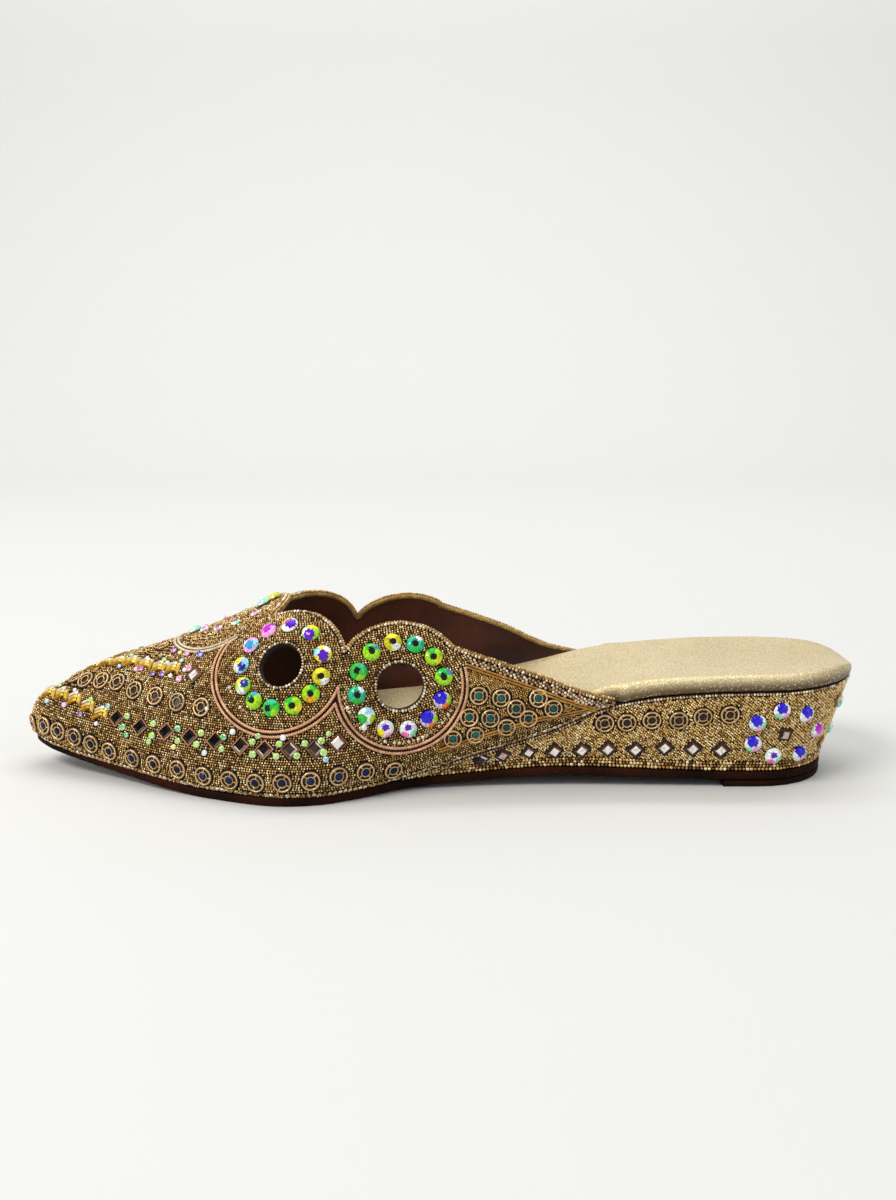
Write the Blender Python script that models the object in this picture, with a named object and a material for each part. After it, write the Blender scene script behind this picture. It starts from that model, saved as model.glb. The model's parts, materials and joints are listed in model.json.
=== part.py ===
"""Beaded wedge mule, left shoe, at its real size.

The toe points along -X, the lateral side faces -Y and the floor is z = 0. The shape is worked out from two
short tables, the last's sections and the sole's profile, which are read along the shoe from the toe. The
upper is cut as a flat pattern on the last's surface (five scalloped petals and four round cut-outs) and then
given its wall. Lengths in this file are millimetres until mesh_object() turns them into metres.
"""

import functools
import math
from collections import namedtuple

import bpy
import numpy as np
from mathutils import Vector
from mathutils.geometry import delaunay_2d_cdt

MM = 0.001
LATERAL, MEDIAL = -1, 1

# The shoe as a whole
TOE_X = -130.5  # the sole's toe end
HEEL_X = 131.8  # the footbed's back end
CENTRE_LINE_Y = 4.4  # the heel's centre line, seen from the middle of the overall width
TOE_Y = 1.9  # the toe point, seen from the heel's centre line
GAP = 0.3  # left between pieces that meet

# The upper
WALL = 1.8
NOSE_HEIGHT = 3.2  # length over which the toe's profile rounds up
NOSE_WIDTH = 8.0  # length over which the toe's outline rounds out
SKEW_END_D = 84.0  # the ridge runs from the toe point to the heel's centre line up to here
BULGE = 1.7  # how far the wall swells past the feather line
BULGE_HEIGHT = 15.0
CELL = 3.9  # facet size of the wall
EDGE_CELL = 2.9  # and along the topline
FOOT_CELL = 3.5  # and along the feather line
HOLE_SIDES = 20

# The throat's five petals: the topline follows the rings' outlines from one notch to the next
Ring = namedtuple("Ring", "d height radius hole")
RING_FRONT = {LATERAL: Ring(84.0, 41.0, 19.7, 6.7), MEDIAL: Ring(84.5, 39.2, 19.1, 6.7)}
RING_BACK = {LATERAL: Ring(119.7, 33.8, 19.7, 7.1), MEDIAL: Ring(119.7, 33.8, 19.7, 7.1)}
LOBE_D, LOBE_ACROSS, LOBE_RADIUS = 63.0, -4.0, 22.0  # the middle petal, on top, has no cut-out
TAIL_END_D = 184.0

# Footbed, heel and sole
FOOTBED_START = 7.0
FOOTBED_THICK = 6.6
FOOTBED_HEEL_THICK = 5.0
FOOTBED_DISH = 0.9
ARCH_PAD, ARCH_PAD_D, ARCH_PAD_LENGTH = 6.2, 121.0, 24.0  # swell under the medial arch
HEEL_ROUND = 31.0  # length of the rounded heel end in plan
WEDGE_START = 119.0
TOP_GAP = 0.45  # between the wedge and the footbed, whose faces aren't quite parallel
WEDGE_SHORTER = 0.5  # the footbed stands out this far behind the wedge's top
SOLE_THICK = 2.7
SOLE_END_D = 253.6
SOLE_ROUND = 24.0
LIFT_START = 219.0
LIFT_THICK = 1.95
STEP = 4.5  # spacing of the lofts' sections

# Sections of the last: distance from the toe, half widths at the feather line, height of the feather line,
# extra height of it on the medial side, height of the ridge, and the form of the wall between them (how far
# it leans out, how high it stays steep and how broad the crown is)
Section = namedtuple("Section", "d lateral medial foot arch ridge lean rise crown")
SECTIONS = (
    Section(0.0, 2.8, 6.6, 9.9, 0.0, 21.2, 0.0, 0.62, 0.70),
    Section(13.0, 9.8, 13.4, 7.3, 0.0, 28.6, 0.0, 0.62, 0.62),
    Section(31.0, 19.4, 22.0, 5.3, 0.0, 36.2, -0.5, 0.64, 0.58),
    Section(50.0, 30.2, 29.6, 3.7, 0.0, 42.4, -2.5, 0.68, 0.58),
    Section(69.0, 38.7, 34.2, 3.0, 0.0, 50.0, -4.0, 0.73, 0.62),
    Section(87.0, 43.5, 34.6, 3.0, 0.0, 57.5, -4.5, 0.77, 0.66),
    Section(97.0, 42.0, 33.4, 3.0, 0.0, 59.4, -2.0, 0.72, 0.72),
    Section(107.0, 37.2, 31.4, 3.3, 0.4, 60.2, 2.0, 0.62, 0.84),
    Section(121.0, 30.2, 28.6, 4.9, 2.2, 61.5, 6.0, 0.53, 1.02),
    Section(140.0, 27.8, 26.4, 10.7, 5.2, 62.0, 5.5, 0.50, 1.06),
    Section(165.0, 27.5, 26.2, 18.8, 4.6, 62.0, 3.0, 0.45, 1.05),
    Section(184.0, 28.0, 27.0, 26.9, 1.2, 62.0, 1.0, 0.40, 1.00),
    Section(196.0, 28.6, 28.2, 29.4, 0.0, 62.0, 0.0, 0.40, 1.00),
    Section(212.0, 29.0, 29.0, 30.8, 0.0, 62.0, 0.0, 0.40, 1.00),
    Section(240.0, 29.0, 29.0, 31.5, 0.0, 62.0, 0.0, 0.40, 1.00),
    Section(264.0, 29.0, 29.0, 32.5, 0.0, 62.0, 0.0, 0.40, 1.00),
)

# The outsole: distance from the toe, half widths, and height of its underside
SoleRow = namedtuple("SoleRow", "d lateral medial under")
SOLE_ROWS = (
    SoleRow(0.0, 3.0, 6.8, 6.9),
    SoleRow(13.0, 10.0, 13.6, 4.3),
    SoleRow(31.0, 19.6, 22.2, 2.3),
    SoleRow(50.0, 30.4, 29.8, 0.7),
    SoleRow(62.0, 36.2, 33.2, 0.0),
    SoleRow(87.0, 43.6, 34.8, 0.0),
    SoleRow(97.0, 41.8, 33.2, 0.0),
    SoleRow(107.0, 36.8, 30.8, 0.2),
    SoleRow(121.0, 29.0, 27.4, 0.8),
    SoleRow(140.0, 25.4, 24.4, 1.9),
    SoleRow(165.0, 24.6, 23.8, 3.6),
    SoleRow(190.0, 24.8, 24.4, 3.2),
    SoleRow(212.0, 25.0, 24.9, 2.4),
    SoleRow(230.0, 25.0, 25.0, 2.25),
    SoleRow(254.0, 25.0, 25.0, 2.25),
)
FLAT_FROM, FLAT_TO = 62.0, 97.0  # where the outsole lies flat on the floor

# The tails' top edges behind the last petal: distance from the toe and height
TAIL_TOP = {
    LATERAL: ((136.0, 44.8), (153.0, 39.0), (168.0, 33.8)),
    MEDIAL: ((131.5, 48.3), (153.0, 40.4), (168.0, 33.2)),
}


@functools.lru_cache(maxsize=None)
def read_column(rows, name):
    """A column's distances, values and slopes, each slope from the rows on both sides."""
    at = np.array([row.d for row in rows])
    value = np.array([getattr(row, name) for row in rows])
    return at, value, np.gradient(value, at)


@functools.lru_cache(maxsize=None)
def read_table(rows, name, d):
    """A column of a table at distance d, on a smooth cubic through its rows."""
    at, value, slope = read_column(rows, name)
    i = min(max(int(np.searchsorted(at, d, side="right")) - 1, 0), len(at) - 2)
    span = at[i + 1] - at[i]
    t = min(max((d - at[i]) / span, 0.0), 1.0)
    return (
        (1 + 2 * t) * (1 - t) ** 2 * value[i]
        + t * (1 - t) ** 2 * span * slope[i]
        + t**2 * (3 - 2 * t) * value[i + 1]
        + t**2 * (t - 1) * span * slope[i + 1]
    )


def round_start(d, length):
    """Rises from 0 to 1 over the given length, as the quarter of an ellipse."""
    return math.sqrt(max(0.0, 1.0 - max(0.0, 1.0 - d / length) ** 2))


def outline_y(rows, side, d, end=None, end_round=None):
    """The edge's y on one side at distance d, drawn in to a round toe and, if it has an end, a round heel."""
    reach = read_table(rows, "lateral" if side == LATERAL else "medial", d)
    y = TOE_Y + (side * reach - TOE_Y) * round_start(d, NOSE_WIDTH)
    if end is not None:
        y *= round_start(end - d, end_round)
    return y


def foot_z(side, d):
    return read_table(SECTIONS, "foot", d) + (read_table(SECTIONS, "arch", d) if side == MEDIAL else 0.0)


def ridge_z(d):
    foot = foot_z(LATERAL, d)
    return foot + (read_table(SECTIONS, "ridge", d) - foot) * round_start(d, NOSE_HEIGHT)


@functools.lru_cache(maxsize=None)
def half_section(side, d, steps=48):
    """(x, y, z) points of the outer surface from the ridge down to the feather line, without the bulge."""
    foot = np.array([outline_y(SECTIONS, side, d), foot_z(side, d)])
    crown_y = TOE_Y * max(0.0, 1.0 - d / SKEW_END_D)
    crown = np.array([crown_y, ridge_z(d)])
    rise = (crown[1] - foot[1]) * read_table(SECTIONS, "rise", d)
    nose = round_start(d, NOSE_WIDTH)
    wall = foot + np.array([side * read_table(SECTIONS, "lean", d) * nose, rise])
    shoulder = crown + np.array([(foot[0] - crown_y) * read_table(SECTIONS, "crown", d), 0.0])
    t = np.linspace(0.0, 1.0, steps + 1)[:, None]
    return (1 - t) ** 3 * crown + 3 * t * (1 - t) ** 2 * shoulder + 3 * t**2 * (1 - t) * wall + t**3 * foot


def plan_normal(side, d):
    """The outward direction of the feather line in plan."""
    ahead, behind = max(0.0, d - 0.05), d + 0.05
    run = behind - ahead
    rise = outline_y(SECTIONS, side, behind) - outline_y(SECTIONS, side, ahead)
    normal = np.array([-rise, run]) * side
    return normal / np.linalg.norm(normal)


def arc_lengths(points):
    return np.concatenate([[0.0], np.cumsum(np.linalg.norm(np.diff(points, axis=0), axis=1))])


class Last:
    """The last's outer surface, in pattern coordinates: q along the ridge from the toe, and s across it."""

    def __init__(self):
        fine = np.linspace(0.0, 1.0, 400) ** 2 * SECTIONS[-1].d
        ridge = np.array([(d, ridge_z(d)) for d in fine])
        self.d_samples = fine
        self.q_samples = arc_lengths(ridge)

    def distance(self, q):
        return float(np.interp(q, self.q_samples, self.d_samples))

    def along(self, d):
        return float(np.interp(d, self.d_samples, self.q_samples))

    def girth(self, side, d):
        """The length of one side of the section, from the ridge to the feather line."""
        return arc_lengths(half_section(side, d))[-1]

    def point(self, q, s):
        """The point of the outer surface at pattern coordinates (q, s)."""
        side = LATERAL if s < 0 else MEDIAL
        d = self.distance(max(q, 0.0))
        section = half_section(side, d)
        lengths = arc_lengths(section)
        y = float(np.interp(abs(s), lengths, section[:, 0]))
        z = float(np.interp(abs(s), lengths, section[:, 1]))
        height = (z - foot_z(side, d)) / BULGE_HEIGHT
        swell = BULGE * max(0.0, 4 * height * (1 - height)) if height < 1 else 0.0
        out = plan_normal(side, d) * swell
        return np.array([TOE_X + d + out[0], y + out[1], z])

    def normal(self, q, s):
        if q < 0.01:
            return np.array([-1.0, 0.0, 0.0])
        small = 0.2
        along = self.point(q + small, s) - self.point(max(q - small, 0.02), s)
        reach = self.girth(LATERAL if s < 0 else MEDIAL, self.distance(q))
        low, high = max(s - small, -reach), min(s + small, reach)
        across = self.point(q, high) - self.point(q, low)
        normal = np.cross(along, across)
        return normal / np.linalg.norm(normal)

    def at_height(self, side, d, height):
        """Pattern coordinates of the point at distance d whose height is given."""
        section = half_section(side, d)
        lengths = arc_lengths(section)
        return np.array([self.along(d), side * np.interp(-height, -section[:, 1], lengths)])

    def circle(self, centre, radius, angles):
        """Pattern points that lie a straight distance away from a centre on the surface."""
        middle = self.point(*centre)
        points = []
        for angle in angles:
            way = np.array([math.cos(angle), math.sin(angle)])
            reach = radius
            for _ in range(6):
                reach *= radius / np.linalg.norm(self.point(*(centre + way * reach)) - middle)
            points.append(centre + way * reach)
        return points


class Petal:
    """A round outline on the last: points a fixed straight distance from a centre."""

    def __init__(self, last, centre, radius):
        self.last = last
        self.centre = centre
        self.radius = radius

    @classmethod
    def round_ring(cls, last, side, ring, radius):
        return cls(last, last.at_height(side, ring.d, ring.height), radius)

    def at(self, angle):
        return self.last.circle(self.centre, self.radius, [angle])[0]

    def angle_of(self, point):
        away = point - self.centre
        return math.atan2(away[1], away[0])

    def within(self, point):
        apart = self.last.point(*point) - self.last.point(*self.centre)
        return np.linalg.norm(apart) < self.radius

    def arc(self, start, end, spacing):
        """Evenly spaced points from one angle to another, both included."""
        count = max(2, round(abs(end - start) * self.radius / spacing))
        return self.last.circle(self.centre, self.radius, np.linspace(start, end, count + 1))

    def notch(self, other, free, covered):
        """Where this outline runs into another, between an angle outside that one and an angle inside it."""
        for _ in range(30):
            middle = (free + covered) / 2
            if other.within(self.at(middle)):
                covered = middle
            else:
                free = middle
        return self.at(free)


def throat_side(last, side, spacing):
    """One side of the topline, from the tip of the middle petal to the end of the tail."""
    lobe = Petal(last, np.array([last.along(LOBE_D), LOBE_ACROSS]), LOBE_RADIUS)
    front = Petal.round_ring(last, side, RING_FRONT[side], RING_FRONT[side].radius)
    back = Petal.round_ring(last, side, RING_BACK[side], RING_BACK[side].radius)
    up = -side * math.pi / 2
    first = front.notch(lobe, 0.75 * up, 1.5 * up)
    second = front.notch(back, up, 0.0)
    tail = [last.at_height(side, d, height) for d, height in TAIL_TOP[side]]
    line = lobe.arc(0.0, lobe.angle_of(first), spacing)[:-1]
    line += front.arc(front.angle_of(first), front.angle_of(second), spacing)[:-1]
    line += back.arc(back.angle_of(second), back.angle_of(tail[0]), spacing)[:-1]
    return line + spaced([*tail, tail_tip(last, side)], spacing)


def spaced(corners, spacing):
    """The corners of an open line with points added between them."""
    points = []
    for a, b in zip(corners, corners[1:]):
        count = max(1, round(np.linalg.norm(b - a) / spacing))
        points += [a + (b - a) * i / count for i in range(count)]
    return points + [corners[-1]]


def tail_tip(last, side):
    """The tail ends in a blunt tip a little above the feather line."""
    reach = last.girth(side, TAIL_END_D)
    return np.array([last.along(TAIL_END_D), side * (reach - 1.6)])


def foot_side(last, side, spacing):
    """The feather line on one side, from the tail's end forward to the toe, which is left out."""
    count = round(TAIL_END_D / spacing)
    even = [TAIL_END_D * (1 - i / count) for i in range(count)]
    distances = [d for d in even if d > NOSE_WIDTH] + [6.2, 3.2, 1.2, 0.3]
    return [np.array([last.along(d), side * last.girth(side, d)]) for d in distances]


def upper_pattern(last):
    """The upper's outline, once round, and its four cut-outs, all in pattern coordinates."""
    outline = [np.array([0.0, 0.0])]
    outline += foot_side(last, MEDIAL, FOOT_CELL)[::-1]
    outline += throat_side(last, MEDIAL, EDGE_CELL)[::-1]
    outline += throat_side(last, LATERAL, EDGE_CELL)[1:]
    outline += foot_side(last, LATERAL, FOOT_CELL)
    holes = []
    for side in (LATERAL, MEDIAL):
        for ring in (RING_FRONT[side], RING_BACK[side]):
            hole = Petal.round_ring(last, side, ring, ring.hole)
            holes.append(hole.arc(0.0, 2 * math.pi, math.tau * ring.hole / HOLE_SIDES)[:-1])
    return outline, holes


def inside(loop, point):
    hit = False
    for a, b in zip(loop, np.roll(loop, -1, axis=0)):
        if (a[1] > point[1]) != (b[1] > point[1]):
            hit ^= point[0] < a[0] + (point[1] - a[1]) / (b[1] - a[1]) * (b[0] - a[0])
    return hit


def edge_distance(loops, point):
    near = math.inf
    for loop in loops:
        ends = np.roll(loop, -1, axis=0)
        way = ends - loop
        t = np.clip(((point - loop) * way).sum(axis=1) / (way**2).sum(axis=1), 0.0, 1.0)
        near = min(near, np.linalg.norm(loop + way * t[:, None] - point, axis=1).min())
    return near


def triangulate(outline, holes, cell):
    """Points and triangles that fill a flat region, with a staggered grid of points inside it."""
    loops = [np.array(loop) for loop in [outline, *holes]]
    points = [tuple(p) for loop in loops for p in loop]
    edges, start = [], 0
    for loop in loops:
        edges += [(start + i, start + (i + 1) % len(loop)) for i in range(len(loop))]
        start += len(loop)
    low, high = loops[0].min(axis=0), loops[0].max(axis=0)
    row_step = cell * math.sqrt(3) / 2
    for row in range(int((high[1] - low[1]) / row_step) + 1):
        for column in range(int((high[0] - low[0]) / cell) + 1):
            point = low + np.array([(column + row % 2 / 2) * cell, row * row_step])
            if sum(inside(loop, point) for loop in loops) == 1 and edge_distance(loops, point) > cell * 0.62:
                points.append(tuple(point))
    flat, _, faces, _, _, _ = delaunay_2d_cdt([Vector(p) for p in points], edges, [], 0, 1e-5)
    flat = [np.array(p) for p in flat]
    kept = []
    for face in faces:
        middle = sum(flat[i] for i in face) / 3
        if sum(inside(loop, middle) for loop in loops) == 1:
            kept.append(tuple(face))
    return flat, kept


def walled(last, flat, faces):
    """Vertices and faces of a closed wall: the outer surface, the inner one WALL below it, and their rims."""
    outer = [last.point(*p) for p in flat]
    inner = [p - WALL * last.normal(*f) for p, f in zip(outer, flat)]
    count = len(outer)
    solid = [tuple(face) for face in faces] + [tuple(count + i for i in face[::-1]) for face in faces]
    directed = {(face[i], face[(i + 1) % 3]) for face in faces for i in range(3)}
    for a, b in directed:
        if (b, a) not in directed:
            solid += [(b, a, count + a), (b, count + a, count + b)]
    return outer + inner, solid


def lofted(rings):
    """Vertices and faces of a closed body through rings that have the same number of points each."""
    count = len(rings[0])
    vertices = [point for ring in rings for point in ring]
    faces = []
    for i in range(len(rings) - 1):
        for j in range(count):
            k = (j + 1) % count
            faces.append((i * count + j, (i + 1) * count + j, (i + 1) * count + k, i * count + k))
    last_ring = (len(rings) - 1) * count
    faces.append(tuple(range(count)))
    faces.append(tuple(last_ring + j for j in reversed(range(count))))
    return vertices, faces


def stations(start, end, start_round, end_round, step):
    """Distances from start to end: even steps, and closer together where the ends are rounded."""
    turns = [1 - math.cos(math.radians(angle)) for angle in (10, 25, 40, 55, 70, 90)]
    first = [start + start_round * t for t in turns] if start_round else [start]
    final = [end - end_round * t for t in turns][::-1] if end_round else [end]
    count = max(1, round((final[0] - first[-1]) / step))
    middle = list(np.linspace(first[-1], final[0], count + 1)[1:-1])
    return first + middle + final


def wall_y(last, side, d, z):
    """The inner side of the upper's wall at a height, with the gap kept in front of it."""
    section = half_section(side, d)
    y = float(np.interp(-z, -section[:, 1], section[:, 0]))
    lower = float(np.interp(-(z - 1.0), -section[:, 1], section[:, 0]))
    return y - side * (WALL + GAP) * math.hypot(1.0, lower - y)


def bed_z(d, y):
    """Height of the last's underside, straight across between its two feather lines."""
    right, left = (outline_y(SECTIONS, side, d) for side in (LATERAL, MEDIAL))
    share = (y - right) / (left - right)
    return foot_z(LATERAL, d) + share * (foot_z(MEDIAL, d) - foot_z(LATERAL, d))


def footbed_thickness(side, d):
    """A padded board, thinner at the heel, with a swell under the medial arch."""
    heel = min(1.0, max(0.0, (d - 150.0) / 60.0))
    pad = ARCH_PAD * math.exp(-(((d - ARCH_PAD_D) / ARCH_PAD_LENGTH) ** 2)) if side == MEDIAL else 0.0
    return FOOTBED_THICK + (FOOTBED_HEEL_THICK - FOOTBED_THICK) * heel + pad


def footbed_ring(last, d, end):
    """The footbed's section: a rounded edge on each side, a flat underside and a slightly dished top."""
    close = round_start(end - d, 2.8) * round_start(d - FOOTBED_START + 0.4, 2.8)
    edges = {}
    for side in (LATERAL, MEDIAL):
        thick = footbed_thickness(side, d)
        if d < TAIL_END_D + 3.0:
            heights = (foot_z(side, d) + 0.5, foot_z(side, d) + thick)
            reach = side * min(side * wall_y(last, side, d, z) for z in heights)
            reach = TOE_Y + (reach - TOE_Y) * round_start(d - FOOTBED_START + 0.4, 7.0)
        else:
            reach = outline_y(SECTIONS, side, d, end + 0.3, HEEL_ROUND)
        half = thick / 2 * close
        free = min(1.0, max(0.0, (d - TAIL_END_D - 2.0) / 8.0))
        edges[side] = (bed_z(d, reach) + thick / 2, half, reach, half * (0.45 + 0.55 * free))
    x = TOE_X + d
    ring = []
    for side, degrees in ((LATERAL, (-90, -45, 0, 45, 90)), (MEDIAL, (90, 45, 0, -45, -90))):
        middle, half, reach, corner = edges[side]
        for a in map(math.radians, degrees):
            y = reach - side * corner * (1 - math.cos(a))
            ring.append((x, y, middle + half * math.sin(a)))
        if side == LATERAL:
            ring += footbed_crown(ring[-1], edges[MEDIAL], x)
    return ring + across(ring[-1], ring[0])


def footbed_crown(start, far, x):
    """Points across the footbed's top between its two rounded edges."""
    middle, half, reach, corner = far
    end_y, end_z = reach - corner, middle + half
    points = []
    for t in (0.25, 0.5, 0.75):
        y = start[1] + (end_y - start[1]) * t
        z = start[2] + (end_z - start[2]) * t - FOOTBED_DISH * 4 * t * (1 - t)
        points.append((x, y, z))
    return points


def back_stations():
    """The sections behind the wedge's front edge, which the footbed and the wedge share."""
    return stations(WEDGE_START, HEEL_X - TOE_X, 0.0, HEEL_ROUND, STEP)


def across(start, end):
    """Three points between two others, so that a twisted face has the same folds on every piece."""
    return [tuple(a + (b - a) * t for a, b in zip(start, end)) for t in (0.25, 0.5, 0.75)]


def footbed(last):
    distances = stations(FOOTBED_START, WEDGE_START, 6.0, 0.0, STEP) + back_stations()[1:]
    return lofted([footbed_ring(last, d, HEEL_X - TOE_X) for d in distances])


def sole_top(d):
    return read_table(SOLE_ROWS, "under", d) + SOLE_THICK


def sole_under(d):
    return 0.0 if FLAT_FROM <= d <= FLAT_TO else max(0.0, read_table(SOLE_ROWS, "under", d))


def plate(under, over, y_of, distances, bevel):
    """A loft through flat sections with bevelled edges; y_of gives an edge's y on each side."""
    rings = []
    for d in distances:
        x, low, high = TOE_X + d, under(d), over(d)
        right, left = y_of(LATERAL, d), y_of(MEDIAL, d)
        cut = min(bevel, (left - right) * 0.2)
        rings.append(
            [
                (x, right + cut, low),
                (x, right, low + bevel),
                (x, right, high),
                (x, left, high),
                (x, left, low + bevel),
                (x, left - cut, low),
            ]
        )
    return lofted(rings)


def outsole():
    def y_of(side, d):
        return outline_y(SOLE_ROWS, side, d, SOLE_END_D + 0.2, SOLE_ROUND)

    front = stations(0.15, FLAT_FROM, NOSE_WIDTH, 0.0, STEP)
    flat = stations(FLAT_FROM, FLAT_TO, 0.0, 0.0, STEP)
    back = stations(FLAT_TO, SOLE_END_D, 0.0, SOLE_ROUND, STEP)
    return plate(sole_under, sole_top, y_of, front + flat[1:] + back[1:], 0.5)


def heel_lift():
    def y_of(side, d):
        return outline_y(SOLE_ROWS, side, d, SOLE_END_D + 0.2, SOLE_ROUND) - side * 0.3

    distances = stations(LIFT_START, SOLE_END_D - 0.5, 0.0, SOLE_ROUND, STEP)
    return plate(lambda d: 0.0, lambda d: LIFT_THICK, y_of, distances, 0.4)


def wedge():
    """The covered wedge: its underside follows the outsole and its top the feather line, longer at the back."""
    end = HEEL_X - TOE_X
    rings = []
    for d in back_stations():
        share = (d - WEDGE_START) / (end - WEDGE_START)
        top_d = d - WEDGE_SHORTER * share
        low_d = WEDGE_START + share * (SOLE_END_D - 0.4 - WEDGE_START)
        ring = []
        for side, order in ((LATERAL, 1), (MEDIAL, -1)):
            top_y = outline_y(SECTIONS, side, top_d, end - WEDGE_SHORTER + 0.3, HEEL_ROUND) - side * 0.4
            low_y = outline_y(SOLE_ROWS, side, low_d, SOLE_END_D - 0.2, SOLE_ROUND) - side * 0.5
            low = (TOE_X + low_d, low_y, sole_top(low_d) + GAP)
            top = (TOE_X + top_d, top_y, bed_z(top_d, top_y) - TOP_GAP)
            waist = tuple(0.5 * a + 0.5 * b for a, b in zip(low, top))
            ring += [low, waist, top][::order]
        rings.append(ring[:3] + across(ring[2], ring[3]) + ring[3:])
    return lofted(rings)


def material(name, colour, roughness, metallic):
    made = bpy.data.materials.new(name)
    made.use_nodes = True
    shader = made.node_tree.nodes["Principled BSDF"]
    shader.inputs["Base Color"].default_value = (*colour, 1.0)
    shader.inputs["Roughness"].default_value = roughness
    shader.inputs["Metallic"].default_value = metallic
    return made


def mesh_object(name, shape, finish):
    """An object of the given vertices and faces, moved from the heel's centre line to the shoe's middle."""
    vertices, faces = shape
    placed = [(x * MM, (y + CENTRE_LINE_Y) * MM, z * MM) for x, y, z in vertices]
    mesh = bpy.data.meshes.new(name)
    mesh.from_pydata(placed, [], faces)
    mesh.validate()
    mesh.shade_smooth()
    mesh.set_sharp_from_angle(angle=math.radians(35))
    mesh.materials.append(finish)
    made = bpy.data.objects.new(name, mesh)
    bpy.context.scene.collection.objects.link(made)
    return made


def main():
    for old in list(bpy.data.objects):
        bpy.data.objects.remove(old)
    last = Last()
    outline, holes = upper_pattern(last)
    flat, faces = triangulate(outline, holes, CELL)
    beaded = material("beaded_cloth", (0.58, 0.46, 0.28), 0.45, 0.4)
    mesh_object("upper", walled(last, flat, faces), beaded)
    mesh_object("insole", footbed(last), material("metallic_leather", (0.62, 0.53, 0.36), 0.4, 0.6))
    mesh_object("wedge", wedge(), beaded)
    sole = material("sole", (0.10, 0.035, 0.02), 0.5, 0.0)
    mesh_object("outsole", outsole(), sole)
    mesh_object("heel_lift", heel_lift(), sole)


main()
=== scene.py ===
"""Beaded wedge mule, left shoe: the visible pieces and their finishes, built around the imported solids.

The toe points along -X, the lateral side faces -Y and the floor is z = 0. Sizes here are millimetres until
a mesh is made. Everything on the upper is placed on the last's surface by two pattern coordinates, q along
the ridge from the toe and s across it, as a maker would mark it on the flat cloth.
"""

import json
import logging
import math
from dataclasses import dataclass, field
from enum import Enum
from typing import Callable, Iterable, Optional, Sequence

import bmesh
import bpy
import numpy as np
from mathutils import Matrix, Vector
from mathutils.geometry import delaunay_2d_cdt
from mathutils.kdtree import KDTree

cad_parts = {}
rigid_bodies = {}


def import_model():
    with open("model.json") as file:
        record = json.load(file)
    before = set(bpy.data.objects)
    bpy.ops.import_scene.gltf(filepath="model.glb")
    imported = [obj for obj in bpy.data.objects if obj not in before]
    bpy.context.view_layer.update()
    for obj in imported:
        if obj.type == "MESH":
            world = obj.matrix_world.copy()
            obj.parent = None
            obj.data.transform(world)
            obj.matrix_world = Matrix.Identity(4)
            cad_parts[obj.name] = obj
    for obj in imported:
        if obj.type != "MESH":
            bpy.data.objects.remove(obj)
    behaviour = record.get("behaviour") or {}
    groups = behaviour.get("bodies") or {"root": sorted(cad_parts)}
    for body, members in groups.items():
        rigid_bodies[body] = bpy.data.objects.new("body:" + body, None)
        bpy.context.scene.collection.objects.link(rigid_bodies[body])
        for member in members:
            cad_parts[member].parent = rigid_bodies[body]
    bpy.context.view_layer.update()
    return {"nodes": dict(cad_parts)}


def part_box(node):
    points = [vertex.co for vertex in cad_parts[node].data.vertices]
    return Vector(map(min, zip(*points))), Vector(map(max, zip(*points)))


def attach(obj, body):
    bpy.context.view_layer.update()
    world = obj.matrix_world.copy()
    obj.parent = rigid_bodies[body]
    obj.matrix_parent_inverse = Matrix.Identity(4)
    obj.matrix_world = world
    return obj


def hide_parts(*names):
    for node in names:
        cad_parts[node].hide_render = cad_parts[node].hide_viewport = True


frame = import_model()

log = logging.getLogger("mule")

MM = 0.001
Array = np.ndarray
Colour = tuple[float, float, float]
Path = tuple[Array, Array]
Spots = tuple[Array, Array, Array]
Faces = list[tuple[int, ...]]
Obj, Material, Tree = bpy.types.Object, bpy.types.Material, bpy.types.NodeTree
Node, Socket = bpy.types.Node, bpy.types.NodeSocket


def unit(vectors: Array) -> Array:
    """Scales each row to length one; a row of no length stays as it is."""
    return vectors / np.maximum(np.linalg.norm(vectors, axis=-1, keepdims=True), 1e-9)


def step(value: Array, low: float, high: float) -> Array:
    """Rises smoothly from 0 at low to 1 at high."""
    t = np.clip((np.asarray(value, float) - low) / (high - low), 0.0, 1.0)
    return t * t * (3 - 2 * t)


def flattened(vectors: Array, away: Array) -> Array:
    """Unit vectors without their share along the outward directions."""
    return unit(vectors - (vectors * away).sum(axis=1, keepdims=True) * away)


def run_length(points: Array) -> Array:
    """The length along each line of points, counted from its start."""
    steps = np.linalg.norm(np.diff(points, axis=-2), axis=-1)
    return np.concatenate([np.zeros((*steps.shape[:-1], 1)), np.cumsum(steps, axis=-1)], axis=-1)


def linear(colour: Colour) -> Colour:
    """Turns a colour picked as 0-255 values into the linear values that a shader takes."""
    return tuple((c / 255 / 12.92) if c <= 10 else ((c / 255 + 0.055) / 1.055) ** 2.4 for c in colour)


# The last and the sole: the same curves that the solids were made from


class Side(Enum):
    """The two sides of a left shoe, by the sign of y."""

    LATERAL = -1
    MEDIAL = 1


SIDES = (Side.LATERAL, Side.MEDIAL)


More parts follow.
